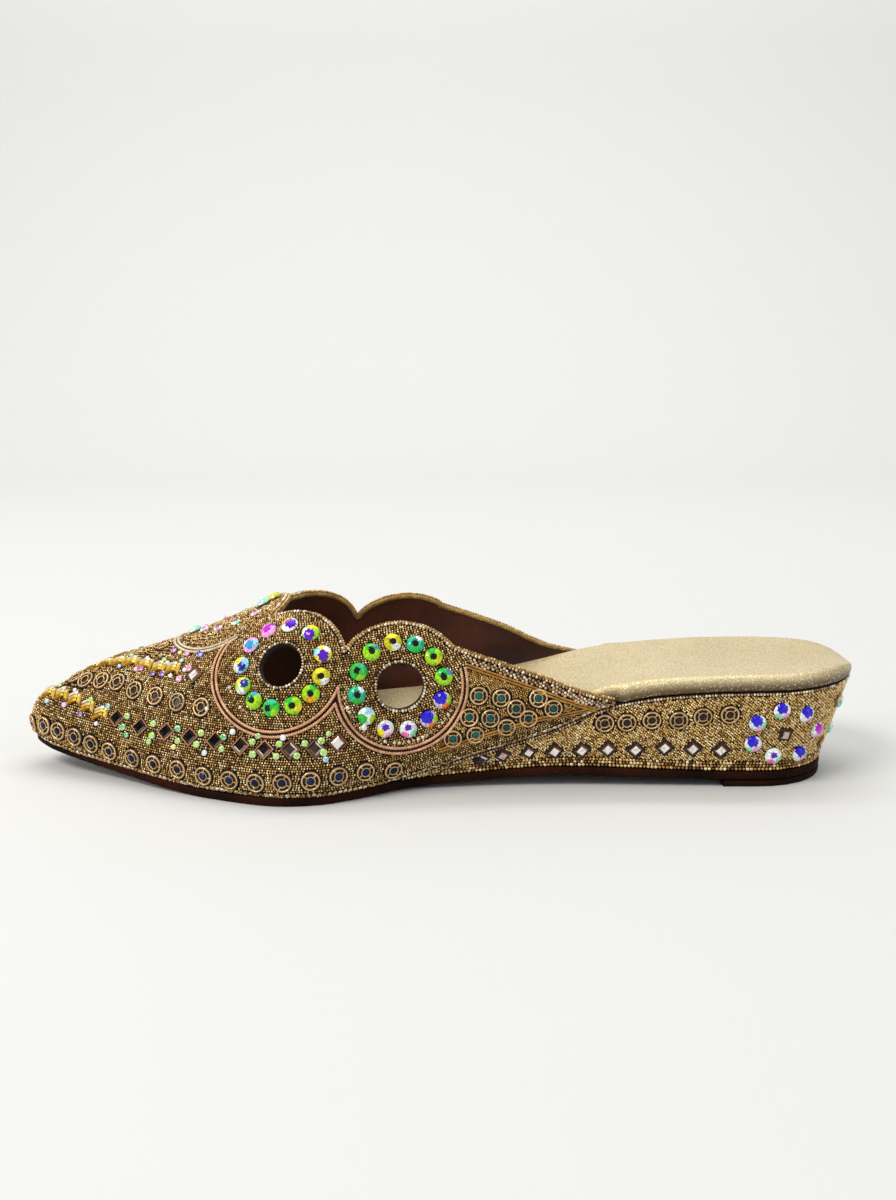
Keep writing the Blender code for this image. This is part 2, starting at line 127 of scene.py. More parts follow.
@dataclass(frozen=True)
class Profile:
    """A smooth curve through given rows; the slope at a row comes from the rows on both sides of it."""

    at: Array
    value: Array

    def __call__(self, d: Array) -> Array:
        """Reads the curve.

        Args:
            d: Distances from the toe.

        Returns:
            The values there, held level past both ends.
        """
        at, value, d = self.at, self.value, np.asarray(d, float)
        slope = np.gradient(value, at)
        i = np.clip(np.searchsorted(at, d, side="right") - 1, 0, len(at) - 2)
        span = at[i + 1] - at[i]
        t = np.clip((d - at[i]) / span, 0.0, 1.0)
        start = (1 + 2 * t) * (1 - t) ** 2 * value[i] + t * (1 - t) ** 2 * span * slope[i]
        return start + t**2 * (3 - 2 * t) * value[i + 1] + t**2 * (t - 1) * span * slope[i + 1]


def profiles(names: str, *rows: Sequence[float]) -> dict[str, Profile]:
    """Splits a table, whose first column is the distance from the toe, into one named curve per column."""
    table = np.array(rows, float).T
    return {name: Profile(table[0], column) for name, column in zip(names.split(), table[1:])}


# half widths at the feather line, its height, its extra medial height, the ridge's height, and the wall's
# form: how far it leans out, how high it stays steep, how broad the crown is
LAST = profiles(
    "lateral medial foot arch ridge lean rise crown",
    (0, 2.8, 6.6, 9.9, 0, 21.2, 0, 0.62, 0.7), (13, 9.8, 13.4, 7.3, 0, 28.6, 0, 0.62, 0.62),
    (31, 19.4, 22, 5.3, 0, 36.2, -0.5, 0.64, 0.58), (50, 30.2, 29.6, 3.7, 0, 42.4, -2.5, 0.68, 0.58),
    (69, 38.7, 34.2, 3, 0, 50, -4, 0.73, 0.62), (87, 43.5, 34.6, 3, 0, 57.5, -4.5, 0.77, 0.66),
    (97, 42, 33.4, 3, 0, 59.4, -2, 0.72, 0.72), (107, 37.2, 31.4, 3.3, 0.4, 60.2, 2, 0.62, 0.84),
    (121, 30.2, 28.6, 4.9, 2.2, 61.5, 6, 0.53, 1.02), (140, 27.8, 26.4, 10.7, 5.2, 62, 5.5, 0.5, 1.06),
    (165, 27.5, 26.2, 18.8, 4.6, 62, 3, 0.45, 1.05), (184, 28, 27, 26.9, 1.2, 62, 1, 0.4, 1),
    (196, 28.6, 28.2, 29.4, 0, 62, 0, 0.4, 1), (212, 29, 29, 30.8, 0, 62, 0, 0.4, 1),
    (240, 29, 29, 31.5, 0, 62, 0, 0.4, 1), (264, 29, 29, 32.5, 0, 62, 0, 0.4, 1),
)
# half widths, and the height of the underside
SOLE = profiles(
    "lateral medial under",
    (0, 3, 6.8, 6.9), (13, 10, 13.6, 4.3), (31, 19.6, 22.2, 2.3), (50, 30.4, 29.8, 0.7), (62, 36.2, 33.2, 0),
    (87, 43.6, 34.8, 0), (97, 41.8, 33.2, 0), (107, 36.8, 30.8, 0.2), (121, 29, 27.4, 0.8), (140, 25.4, 24.4, 1.9),
    (165, 24.6, 23.8, 3.6), (190, 24.8, 24.4, 3.2), (212, 25, 24.9, 2.4), (230, 25, 25, 2.25), (254, 25, 25, 2.25),
)

OUTSOLE_INSET = 0.27  # the outsole's first section is this far behind the toe point
TOE_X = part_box("outsole")[0].x / MM - OUTSOLE_INSET
HEEL_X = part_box("insole")[1].x / MM + 0.47
CENTRE_LINE_Y = (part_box("heel_lift")[0].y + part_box("heel_lift")[1].y) / 2 / MM
TOE_Y = 1.9
NOSE_HEIGHT, NOSE_WIDTH = 3.2, 8.0
SKEW_END_D = 84.0
BULGE, BULGE_HEIGHT = 1.7, 15.0
WALL, GAP = 1.8, 0.3
TAIL_END_D = 184.0
FLAT_FROM, FLAT_TO = 62.0, 97.0
SOLE_THICK, SOLE_END_D, SOLE_ROUND = 2.7, 253.6, 24.0
HEEL_END_D, HEEL_ROUND = HEEL_X - TOE_X, 31.0


def round_start(d: Array, length: float) -> Array:
    """Rises from 0 to 1 over the given length, as the quarter of an ellipse."""
    return np.sqrt(np.maximum(0.0, 1.0 - np.maximum(0.0, 1.0 - np.asarray(d, float) / length) ** 2))


def edge_y(table: dict[str, Profile], side: Side, d: Array) -> Array:
    """The y of the last's or the sole's edge on one side, drawn in to the round toe."""
    return TOE_Y + (side.value * table[side.name.lower()](d) - TOE_Y) * round_start(d, NOSE_WIDTH)


def foot_z(side: Side, d: Array) -> Array:
    """The height of the feather line."""
    return LAST["foot"](d) + (LAST["arch"](d) if side is Side.MEDIAL else 0.0)


def ridge_z(d: Array) -> Array:
    """The height of the last's top line."""
    foot = foot_z(Side.LATERAL, d)
    return foot + (LAST["ridge"](d) - foot) * round_start(d, NOSE_HEIGHT)


def bed_z(d: Array, y: Array) -> Array:
    """Height of the last's underside, straight across between its two feather lines."""
    right, left = (edge_y(LAST, side, d) for side in SIDES)
    low, high = (foot_z(side, d) for side in SIDES)
    return low + (y - right) / (left - right) * (high - low)


def sole_top(d: Array) -> Array:
    """Height of the outsole's upper face."""
    return SOLE["under"](d) + SOLE_THICK


def sole_under(d: Array) -> Array:
    """Height of the outsole's underside, flat on the floor under the ball."""
    return np.where((d >= FLAT_FROM) & (d <= FLAT_TO), 0.0, np.maximum(0.0, SOLE["under"](d)))


class Last:
    """The last's outer surface, held as a fine grid of points and normals for each side."""

    ROWS, COLUMNS, END = 620, 88, 190.0
    NEARINGS = 8

    def __init__(self) -> None:
        """Works out the grid once; every later question is an interpolation in it."""
        self.d = np.linspace(0.0, 1.0, self.ROWS) ** 2 * self.END
        self.q = run_length(np.stack([self.d, ridge_z(self.d)], axis=1))
        self.grid: dict[Side, Array] = {}
        self.reach: dict[Side, Array] = {}
        self.normals: dict[Side, Array] = {}
        self.bare: dict[Side, Array] = {}
        for side in SIDES:
            self._fill(side)

    def _section(self, side: Side) -> Array:
        """The (y, z) curve of every row from the ridge to the feather line, without the bulge."""
        d = self.d
        foot = np.stack([edge_y(LAST, side, d), foot_z(side, d)], axis=1)
        crown_y = TOE_Y * np.maximum(0.0, 1.0 - d / SKEW_END_D)
        crown = np.stack([crown_y, ridge_z(d)], axis=1)
        rise = (crown[:, 1] - foot[:, 1]) * LAST["rise"](d)
        lean = side.value * LAST["lean"](d) * round_start(d, NOSE_WIDTH)
        wall = foot + np.stack([lean, rise], axis=1)
        shoulder = crown + np.stack([(foot[:, 0] - crown_y) * LAST["crown"](d), np.zeros_like(d)], axis=1)
        t = np.linspace(0.0, 1.0, 61)[None, :, None]
        weights = ((1 - t) ** 3, 3 * t * (1 - t) ** 2, 3 * t**2 * (1 - t), t**3)
        return sum(w * p[:, None, :] for w, p in zip(weights, (crown, shoulder, wall, foot)))

    def _fill(self, side: Side) -> None:
        """Fills one side's grid: rows along the shoe, columns from the ridge down, evenly by length."""
        section = self._section(side)
        lengths = run_length(section)
        self.reach[side] = lengths[:, -1]
        share = np.linspace(0.0, 1.0, self.COLUMNS)
        points = np.empty((self.ROWS, self.COLUMNS, 3))
        points[:, :, 0] = self.d[:, None]
        for row, (curve, length) in enumerate(zip(section, lengths)):
            for axis in (0, 1):
                points[row, :, axis + 1] = np.interp(share * max(length[-1], 1e-6), length, curve[:, axis])
        self.bare[side] = points.copy()
        height = (points[:, :, 2] - foot_z(side, self.d)[:, None]) / BULGE_HEIGHT
        swell = BULGE * np.maximum(0.0, 4 * height * (1 - height)) * (height < 1)
        ahead, behind = np.maximum(0.0, self.d - 0.05), self.d + 0.05
        slope = edge_y(LAST, side, behind) - edge_y(LAST, side, ahead)
        away = unit(np.stack([-slope, behind - ahead], axis=1) * side.value)
        points[:, :, :2] += away[:, None, :] * swell[:, :, None]
        points += (TOE_X, CENTRE_LINE_Y, 0.0)
        self.grid[side] = points
        along, across = np.gradient(points, axis=(0, 1))
        self.normals[side] = unit(np.cross(along, across) * side.value)
        self.normals[side][0] = (-1.0, 0.0, 0.0)

    def distance(self, q: Array) -> Array:
        """The distance from the toe at which the ridge has the length q."""
        return np.interp(q, self.q, self.d)

    def along(self, d: Array) -> Array:
        """The ridge's length at a distance from the toe."""
        return np.interp(d, self.d, self.q)

    def row(self, d: float) -> int:
        """The grid's row nearest to a distance from the toe."""
        return int(np.argmin(np.abs(self.d - d)))

    def girth(self, side: Side, d: Array) -> Array:
        """The length of one side of the section, from the ridge to the feather line."""
        return np.interp(np.sqrt(d / self.END), np.sqrt(self.d / self.END), self.reach[side])

    def _read(self, grids: dict[Side, Array], flat: Array) -> Array:
        """Interpolates in a grid at pattern coordinates."""
        q, s = np.atleast_2d(np.asarray(flat, float)).T
        row = np.sqrt(self.distance(np.maximum(q, 0.0)) / self.END) * (self.ROWS - 1)
        i = np.clip(row.astype(int), 0, self.ROWS - 2)
        a = np.clip(row - i, 0.0, 1.0)
        found = np.empty((len(q), 3))
        for side in SIDES:
            mine = (s < 0) == (side is Side.LATERAL)
            reach, grid, r, w = self.reach[side], grids[side], i[mine], a[mine]
            girth = reach[r] * (1 - w) + reach[r + 1] * w
            column = np.clip(np.abs(s[mine]) / np.maximum(girth, 1e-6), 0.0, 1.0) * (self.COLUMNS - 1)
            j = np.clip(column.astype(int), 0, self.COLUMNS - 2)
            b, w = (column - j)[:, None], w[:, None]
            upper, lower = (grid[k, j] * (1 - b) + grid[k, j + 1] * b for k in (r, r + 1))
            found[mine] = upper * (1 - w) + lower * w
        return found

    def point(self, flat: Array) -> Array:
        """Points of the outer surface at pattern coordinates, one (q, s) row each."""
        return self._read(self.grid, flat)

    def normal(self, flat: Array) -> Array:
        """Outward directions of the surface at pattern coordinates."""
        return unit(self._read(self.normals, flat))

    def at_height(self, side: Side, d: float, height: float) -> Array:
        """Pattern coordinates of the point at distance d whose height is given."""
        z = self.grid[side][self.row(d), :, 2]
        share = np.interp(-height, -z, np.linspace(0.0, 1.0, self.COLUMNS))
        return np.array([self.along(d), side.value * share * self.girth(side, d)])

    def above_foot(self, side: Side, places: Array) -> Array:
        """Pattern coordinates a given length up the surface from the feather line.

        Args:
            side: The side of the shoe.
            places: One row for each point: the distance from the toe, the length up from the feather line.

        Returns:
            One row of (q, s) for each point.
        """
        d, rise = np.atleast_2d(np.asarray(places, float)).T
        return np.stack([self.along(d), side.value * np.maximum(self.girth(side, d) - rise, 0.02)], axis=1)

    def circle(self, centre: Array, radius: float, angles: Array) -> Array:
        """Pattern points that lie a straight distance away from a centre on the surface."""
        centre, angles = np.asarray(centre, float), np.atleast_1d(np.asarray(angles, float))
        way = np.stack([np.cos(angles), np.sin(angles)], axis=1)
        reach = np.full(len(angles), float(radius))
        for _ in range(self.NEARINGS):
            apart = np.linalg.norm(self.point(centre + way * reach[:, None]) - self.point(centre), axis=1)
            reach *= radius / np.maximum(apart, 1e-6)
        return centre + way * reach[:, None]


# The flat pattern of the upper: outline, cut-outs and the lines that the decoration follows


@dataclass(frozen=True)
class RingPlace:
    """Where a petal's ring sits: distance from the toe, height, the petal's radius and the cut-out's."""

    d: float
    height: float
    petal: float
    hole: float


RINGS = {
    ("front", Side.LATERAL): RingPlace(84.0, 41.0, 19.7, 6.7),
    ("front", Side.MEDIAL): RingPlace(84.5, 39.2, 19.1, 6.7),
    ("back", Side.LATERAL): RingPlace(119.7, 33.8, 19.7, 7.1),
    ("back", Side.MEDIAL): RingPlace(119.7, 33.8, 19.7, 7.1),
}
LOBE_D, LOBE_ACROSS, LOBE_RADIUS = 63.0, -4.0, 22.0
TAIL_TOP = {
    Side.LATERAL: ((136.0, 44.8), (153.0, 39.0), (168.0, 33.8)),
    Side.MEDIAL: ((131.5, 48.3), (153.0, 40.4), (168.0, 33.2)),
}
TAIL_TIP_RISE = 1.6


class Petal:
    """A round outline on the last: points a fixed straight distance from a centre."""

    HALVINGS = 30

    def __init__(self, last: Last, centre: Array, radius: float) -> None:
        """Keeps the surface, the centre in pattern coordinates and the radius."""
        self.last, self.centre, self.radius = last, np.asarray(centre, float), radius

    def at(self, angle: float) -> Array:
        """The outline's point at one angle."""
        return self.last.circle(self.centre, self.radius, [angle])[0]

    def angle_of(self, point: Array) -> float:
        """The angle under which the centre sees a pattern point."""
        return math.atan2(point[1] - self.centre[1], point[0] - self.centre[0])

    def within(self, point: Array) -> bool:
        """Whether a pattern point lies inside the outline."""
        return float(np.linalg.norm(self.last.point(point) - self.last.point(self.centre))) < self.radius

    def arc(self, start: float, end: float, spacing: float) -> Array:
        """Evenly spaced pattern points from one angle to another, both included."""
        count = max(2, round(abs(end - start) * self.radius / spacing))
        return self.last.circle(self.centre, self.radius, np.linspace(start, end, count + 1))

    def notch(self, other: "Petal", free: float, covered: float) -> Array:
        """Where this outline runs into another, between an angle outside that one and one inside it."""
        for _ in range(self.HALVINGS):
            middle = (free + covered) / 2
            if other.within(self.at(middle)):
                covered = middle
            else:
                free = middle
        return self.at(free)


@dataclass
class Ring:
    """One petal's ring: its cut-out, its stones and the cord round it share a centre."""

    last: Last
    side: Side
    centre: Array
    place: RingPlace

    def petal(self) -> Petal:
        """The petal's outline."""
        return Petal(self.last, self.centre, self.place.petal)

    def hole_line(self, spacing: float) -> Array:
        """The cut-out's edge as a closed flat loop."""
        return Petal(self.last, self.centre, self.place.hole).arc(0.0, math.tau, spacing)[:-1]

    def spot(self, degrees: float, radius: float) -> Array:
        """The pattern point at a real angle, counted up from the back, and a straight distance."""
        return self.last.circle(self.centre, radius, [self.heading(degrees)])[0]

    def heading(self, degrees: float) -> float:
        """The pattern angle of a line that leaves the centre at a real angle, counted up from the back."""
        around = self.last.point(self.centre + np.array([(0.0, 0.0), (0.5, 0.0), (0.0, 0.5)]))
        along, across = around[1] - around[0], around[2] - around[0]
        away = unit(np.cross(along, across))
        back = unit(np.array([1.0, 0.0, 0.0]) - away * away[0])
        up = np.cross(away, back)
        up *= math.copysign(1.0, up[2])
        wanted = back * math.cos(math.radians(degrees)) + up * math.sin(math.radians(degrees))
        share = np.linalg.lstsq(np.stack([along, across], axis=1), wanted, rcond=None)[0]
        return math.atan2(share[1], share[0])

    def arc(self, start: float, end: float, radius: float, spacing: float = 0.7) -> Array:
        """Pattern points along a circle about the centre, between two angles in degrees."""
        ends = (-self.side.value * math.radians(angle) for angle in (start, end))
        return Petal(self.last, self.centre, radius).arc(*ends, spacing)


def spaced(corners: Array, spacing: float) -> Array:
    """The corners of an open line with points added between them."""
    points = []
    for a, b in zip(corners, corners[1:]):
        count = max(1, round(float(np.linalg.norm(b - a)) / spacing))
        points += [a + (b - a) * i / count for i in range(count)]
    return np.array([*points, corners[-1]])


def inside(loop: Array, points: Array) -> Array:
    """Whether each point lies inside a closed flat loop."""
    hit, (x, y) = np.zeros(len(points), bool), points.T
    for a, b in zip(loop, np.roll(loop, -1, axis=0)):
        crosses = (a[1] > y) != (b[1] > y)
        hit ^= crosses & (x < a[0] + (y - a[1]) / ((b[1] - a[1]) or 1e-12) * (b[0] - a[0]))
    return hit


def edge_distance(loops: Iterable[Array], points: Array) -> Array:
    """How far each flat point is from the nearest side of the loops."""
    near = np.full(len(points), np.inf)
    for loop in loops:
        for a, b in zip(loop, np.roll(loop, -1, axis=0)):
            way = b - a
            t = np.clip(((points - a) @ way) / max(float(way @ way), 1e-12), 0.0, 1.0)
            near = np.minimum(near, np.linalg.norm(a + t[:, None] * way - points, axis=1))
    return near


@dataclass
class UpperPattern:
    """The upper's flat pattern: a scalloped throat of five petals, four round cut-outs, two tails."""

    last: Last
    edge_spacing: float = 1.1
    foot_spacing: float = 1.5
    cell: float = 2.1
    outline: Array = field(init=False)
    holes: list[Array] = field(init=False)

    def __post_init__(self) -> None:
        """Lays out the outline and the cut-outs."""
        lateral, medial = (self.throat(side, self.edge_spacing) for side in SIDES)
        feet = self.foot(Side.MEDIAL)[::-1], self.foot(Side.LATERAL)
        self.outline = np.concatenate([[[0.0, 0.0]], feet[0], medial[::-1], lateral[1:], feet[1]])
        rings = (self.ring(side, name) for side in SIDES for name in ("front", "back"))
        self.holes = [ring.hole_line(self.edge_spacing) for ring in rings]

    def ring(self, side: Side, name: str) -> Ring:
        """The front or back ring of one side."""
        place = RINGS[name, side]
        return Ring(self.last, side, self.last.at_height(side, place.d, place.height), place)

    def throat(self, side: Side, spacing: float) -> Array:
        """One side of the topline, from the tip of the middle petal to the end of the tail."""
        last = self.last
        lobe = Petal(last, (last.along(LOBE_D), LOBE_ACROSS), LOBE_RADIUS)
        front, back = (self.ring(side, name).petal() for name in ("front", "back"))
        up = -side.value * math.pi / 2
        first = front.notch(lobe, 0.75 * up, 1.5 * up)
        second = front.notch(back, up, 0.0)
        tail = [last.at_height(side, d, height) for d, height in TAIL_TOP[side]]
        arcs = ((lobe, 0.0, first), (front, front.angle_of(first), second), (back, back.angle_of(second), tail[0]))
        line = [petal.arc(start, petal.angle_of(end), spacing)[:-1] for petal, start, end in arcs]
        tip = last.above_foot(side, (TAIL_END_D, TAIL_TIP_RISE))[0]
        return np.concatenate([*line, spaced(np.array([*tail, tip]), spacing)])

    def foot(self, side: Side, rise: float = 0.0) -> Array:
        """The feather line, or a line above it, from the tail's end forward to the toe, which is left out."""
        count = round((TAIL_END_D - NOSE_WIDTH) / self.foot_spacing)
        near = NOSE_WIDTH * (np.linspace(1.0, 0.0, 13)[1:-1]) ** 2
        d = np.concatenate([np.linspace(TAIL_END_D, NOSE_WIDTH, count + 1), near])
        return self.last.above_foot(side, np.stack([d, np.full(len(d), rise)], axis=1))

    def fill(self) -> tuple[Array, Faces]:
        """Fills the pattern with triangles: a staggered grid of points inside, the edges followed exactly.

        Returns:
            The flat points and the triangles between them.
        """
        loops, edges, start = [self.outline, *self.holes], [], 0
        for loop in loops:
            edges += [(start + i, start + (i + 1) % len(loop)) for i in range(len(loop))]
            start += len(loop)
        low, high = self.outline.min(axis=0), self.outline.max(axis=0)
        grid = []
        for i, y in enumerate(np.arange(low[1], high[1], self.cell * math.sqrt(3) / 2)):
            grid += [(x, y) for x in np.arange(low[0] + i % 2 * self.cell / 2, high[0], self.cell)]
        grid = np.array(grid)
        grid = grid[self.covers(grid)]
        grid = grid[edge_distance(loops, grid) > self.cell * 0.5]
        points = [Vector(point) for point in np.concatenate([*loops, grid])]
        flat, _, faces, _, _, _ = delaunay_2d_cdt(points, edges, [], 0, 1e-5)
        flat = np.array([tuple(point) for point in flat])
        kept = self.covers(np.array([flat[list(face)].mean(axis=0) for face in faces]))
        return flat, [tuple(face) for face, keep in zip(faces, kept) if keep]

    def covers(self, points: Array) -> Array:
        """Whether there is cloth at each flat point."""
        return inside(self.outline, points) & ~np.any([inside(hole, points) for hole in self.holes], axis=0)


# Meshes


def linked(name: str, data: bpy.types.ID) -> Obj:
    """An object at the origin with this data, in the scene."""
    made = bpy.data.objects.new(name, data)
    bpy.context.scene.collection.objects.link(made)
    return made


def make_object(name: str, points: Array, faces: Faces, smooth: bool = True) -> Obj:
    """Makes an object at the origin from points in millimetres."""
    mesh = bpy.data.meshes.new(name)
    mesh.from_pydata((np.asarray(points, float) * MM).tolist(), [], [tuple(int(i) for i in f) for f in faces])
    mesh.validate()
    if smooth:
        mesh.shade_smooth()
    return linked(name, mesh)


def closed_body(
    name: str, points: Array, faces: Faces, finish: Material, sharp: float = 0.0, weld: float = 0.0
) -> Obj:
    """A closed body in one finish, with every face turned outwards.

    Args:
        name: The object's name.
        points: Points in millimetres.
        faces: Its faces.
        finish: Its material.
        sharp: The angle in degrees from which an edge is sharp, or 0 for none.
        weld: Points closer than this are made one.

    Returns:
        The object.
    """
    made, work = make_object(name, points, faces), bmesh.new()
    work.from_mesh(made.data)
    if weld:
        bmesh.ops.remove_doubles(work, verts=work.verts, dist=weld * MM)
        bmesh.ops.dissolve_degenerate(work, edges=work.edges, dist=weld / 4 * MM)
    bmesh.ops.recalc_face_normals(work, faces=work.faces)
    work.to_mesh(made.data)
    work.free()
    made.data.materials.append(finish)
    if sharp:
        made.data.set_sharp_from_angle(angle=math.radians(sharp))
    return made


def point_cloud(name: str, points: Array, edges: Sequence = (), **attributes: Array) -> Obj:
    """Makes a mesh of loose points or lines in millimetres that carries named values on its points.

    Args:
        name: The object's name.
        points: One row of x, y, z for each point.
        edges: Pairs of points, where the points are lines.
        attributes: Arrays with one row per point: a number, three numbers, or a colour of four.

    Returns:
        The object, linked to the scene until its copies are made.
    """
    mesh = bpy.data.meshes.new(name)
    mesh.from_pydata((np.asarray(points, float) * MM).tolist(), edges, [])
    kinds = {1: ("FLOAT", "value"), 3: ("FLOAT_VECTOR", "vector"), 4: ("FLOAT_COLOR", "color")}
    for key, values in attributes.items():
        values = np.asarray(values, np.float32)
        kind, slot = kinds[1 if values.ndim == 1 else values.shape[1]]
        mesh.attributes.new(key, kind, "POINT").data.foreach_set(slot, values.ravel())
    return linked(name, mesh)


def lofted(rings: Sequence[Array], closed: bool = True, capped: bool = True) -> tuple[Array, Faces]:
    """Joins rings that have the same number of points each into a body or a strip.

    Args:
        rings: The sections in order.
        closed: Whether each section is a loop.
        capped: Whether the two ends are closed by a face.

    Returns:
        The points and the faces.
    """
    count, far = len(rings[0]), (len(rings) - 1) * len(rings[0])
    faces: Faces = []
    for i in range(0, far, count):
        for j in range(count if closed else count - 1):
            k = (j + 1) % count
            faces.append((i + j, i + count + j, i + count + k, i + k))
    if closed and capped:
        faces += [tuple(range(count)), tuple(far + j for j in reversed(range(count)))]
    return np.concatenate([np.asarray(ring, float) for ring in rings]), faces


def euler_of(x_axis: Array, z_axis: Array) -> Array:
    """Euler angles that lay a copy's z along one direction and its x as near as can be to another."""
    z = unit(np.asarray(z_axis, float))
    x = flattened(np.asarray(x_axis, float), z)
    y = np.cross(z, x)
    pitch = np.arcsin(np.clip(-x[:, 2], -1.0, 1.0))
    return np.stack([np.arctan2(y[:, 2], z[:, 2]), pitch, np.arctan2(x[:, 1], x[:, 0])], axis=1)


def tree_of(points: Array) -> KDTree:
    """A search tree over points."""
    tree = KDTree(len(points))
    for i, point in enumerate(points):
        tree.insert(point[:3], i)
    tree.balance()
    return tree


def packed(rows: Iterable[Array], pitch: float, draw: np.random.Generator) -> Array:
    """Places for beads along rows, evenly apart, staggered from row to row, and none on top of another.

    Args:
        rows: Lines as rows of columns: x, y, z and whatever else is wanted at each place.
        pitch: Distance from one bead to the next.
        draw: For the small unevenness of handwork.

    Returns:
        The places, with the same columns.
    """
    found = []
    for k, row in enumerate(rows):
        length = run_length(row[:, :3])
        at = np.arange(k % 2 * pitch / 2, length[-1], pitch)
        at = at + draw.normal(0.0, 0.05 * pitch, len(at))
        found.append(np.stack([np.interp(at, length, column) for column in row.T], axis=1))
    places = np.concatenate(found)
    tree, kept = tree_of(places), np.ones(len(places), bool)
    for i, place in enumerate(places):
        if kept[i]:
            for _, j, _ in tree.find_range(place[:3], 0.8 * pitch):
                kept[j] = kept[j] and j <= i
    return places[kept]


def joined(name: str, parts: Sequence[Obj]) -> Obj:
    """Joins meshes into the first one, which gets the name."""
    parts = [part for part in parts if len(part.data.polygons)]
    if len(parts) > 1:
        with bpy.context.temp_override(active_object=parts[0], object=parts[0], selected_editable_objects=parts):
            bpy.ops.object.join()
    parts[0].name = parts[0].data.name = name
    return parts[0]


# Node trees


def node(tree: Tree, kind: str, inputs: Optional[dict] = None, **settings: object) -> Node:
    """Adds a node to a tree.

    Args:
        tree: The shader or geometry tree.
        kind: The node's type.
        inputs: What goes into its sockets, by name or number: another socket, or a constant.
        settings: The node's own options.

    Returns:
        The node.
    """
    made = tree.nodes.new(kind)
    for key, value in settings.items():
        setattr(made, key, value)
    for key, value in (inputs or {}).items():
        by_name = (s for s in made.inputs if s.name == key and s.enabled)
        put(tree, made.inputs[key] if isinstance(key, int) else next(by_name), value)
    return made


def put(tree: Tree, socket: Socket, value: object) -> None:
    """Links another socket to this one, or sets it to a constant."""
    if isinstance(value, Socket):
        tree.links.new(value, socket)
    else:
        socket.default_value = value


def out(made: Node, name: str = "") -> Socket:
    """A node's output by name, or its first one that is in use."""
    return next(s for s in made.outputs if s.enabled and (not name or s.name == name))


def calc(tree: Tree, operation: str, a: object, b: object) -> Socket:
    """The result of one sum on two values, each a socket or a constant."""
    return out(node(tree, "ShaderNodeMath", {0: a, 1: b}, operation=operation))


def named(tree: Tree, name: str, kind: str = "FLOAT_VECTOR") -> Socket:
    """A value that the points carry."""
    return out(node(tree, "GeometryNodeInputNamedAttribute", {"Name": name}, data_type=kind), "Attribute")


def new_group(name: str, kind: str, takes: dict[str, object], gives: Sequence[str]) -> tuple:
    """Starts a node group.

    Args:
        name: The group's name.
        kind: The kind of tree.
        takes: Inputs by name, each a default value, or a type by name where it has none.
        gives: Names of the outputs: geometry in a geometry tree, numbers in a shader's.

    Returns:
        The tree, its input sockets by name and its output node.
    """
    tree = bpy.data.node_groups.new(name, kind)
    types = {float: "Float", int: "Int", tuple: "Vector"}
    for key, value in takes.items():
        typed = isinstance(value, str)
        socket_type = "NodeSocket" + (value if typed else types[type(value)])
        made = tree.interface.new_socket(name=key, in_out="INPUT", socket_type=socket_type)
        if not typed:
            made.default_value = value
    for key in gives:
        socket_type = "NodeSocketGeometry" if kind == "GeometryNodeTree" else "NodeSocketFloat"
        tree.interface.new_socket(name=key, in_out="OUTPUT", socket_type=socket_type)
    source = tree.nodes.new("NodeGroupInput")
    return tree, {key: source.outputs[key] for key in takes}, tree.nodes.new("NodeGroupOutput")


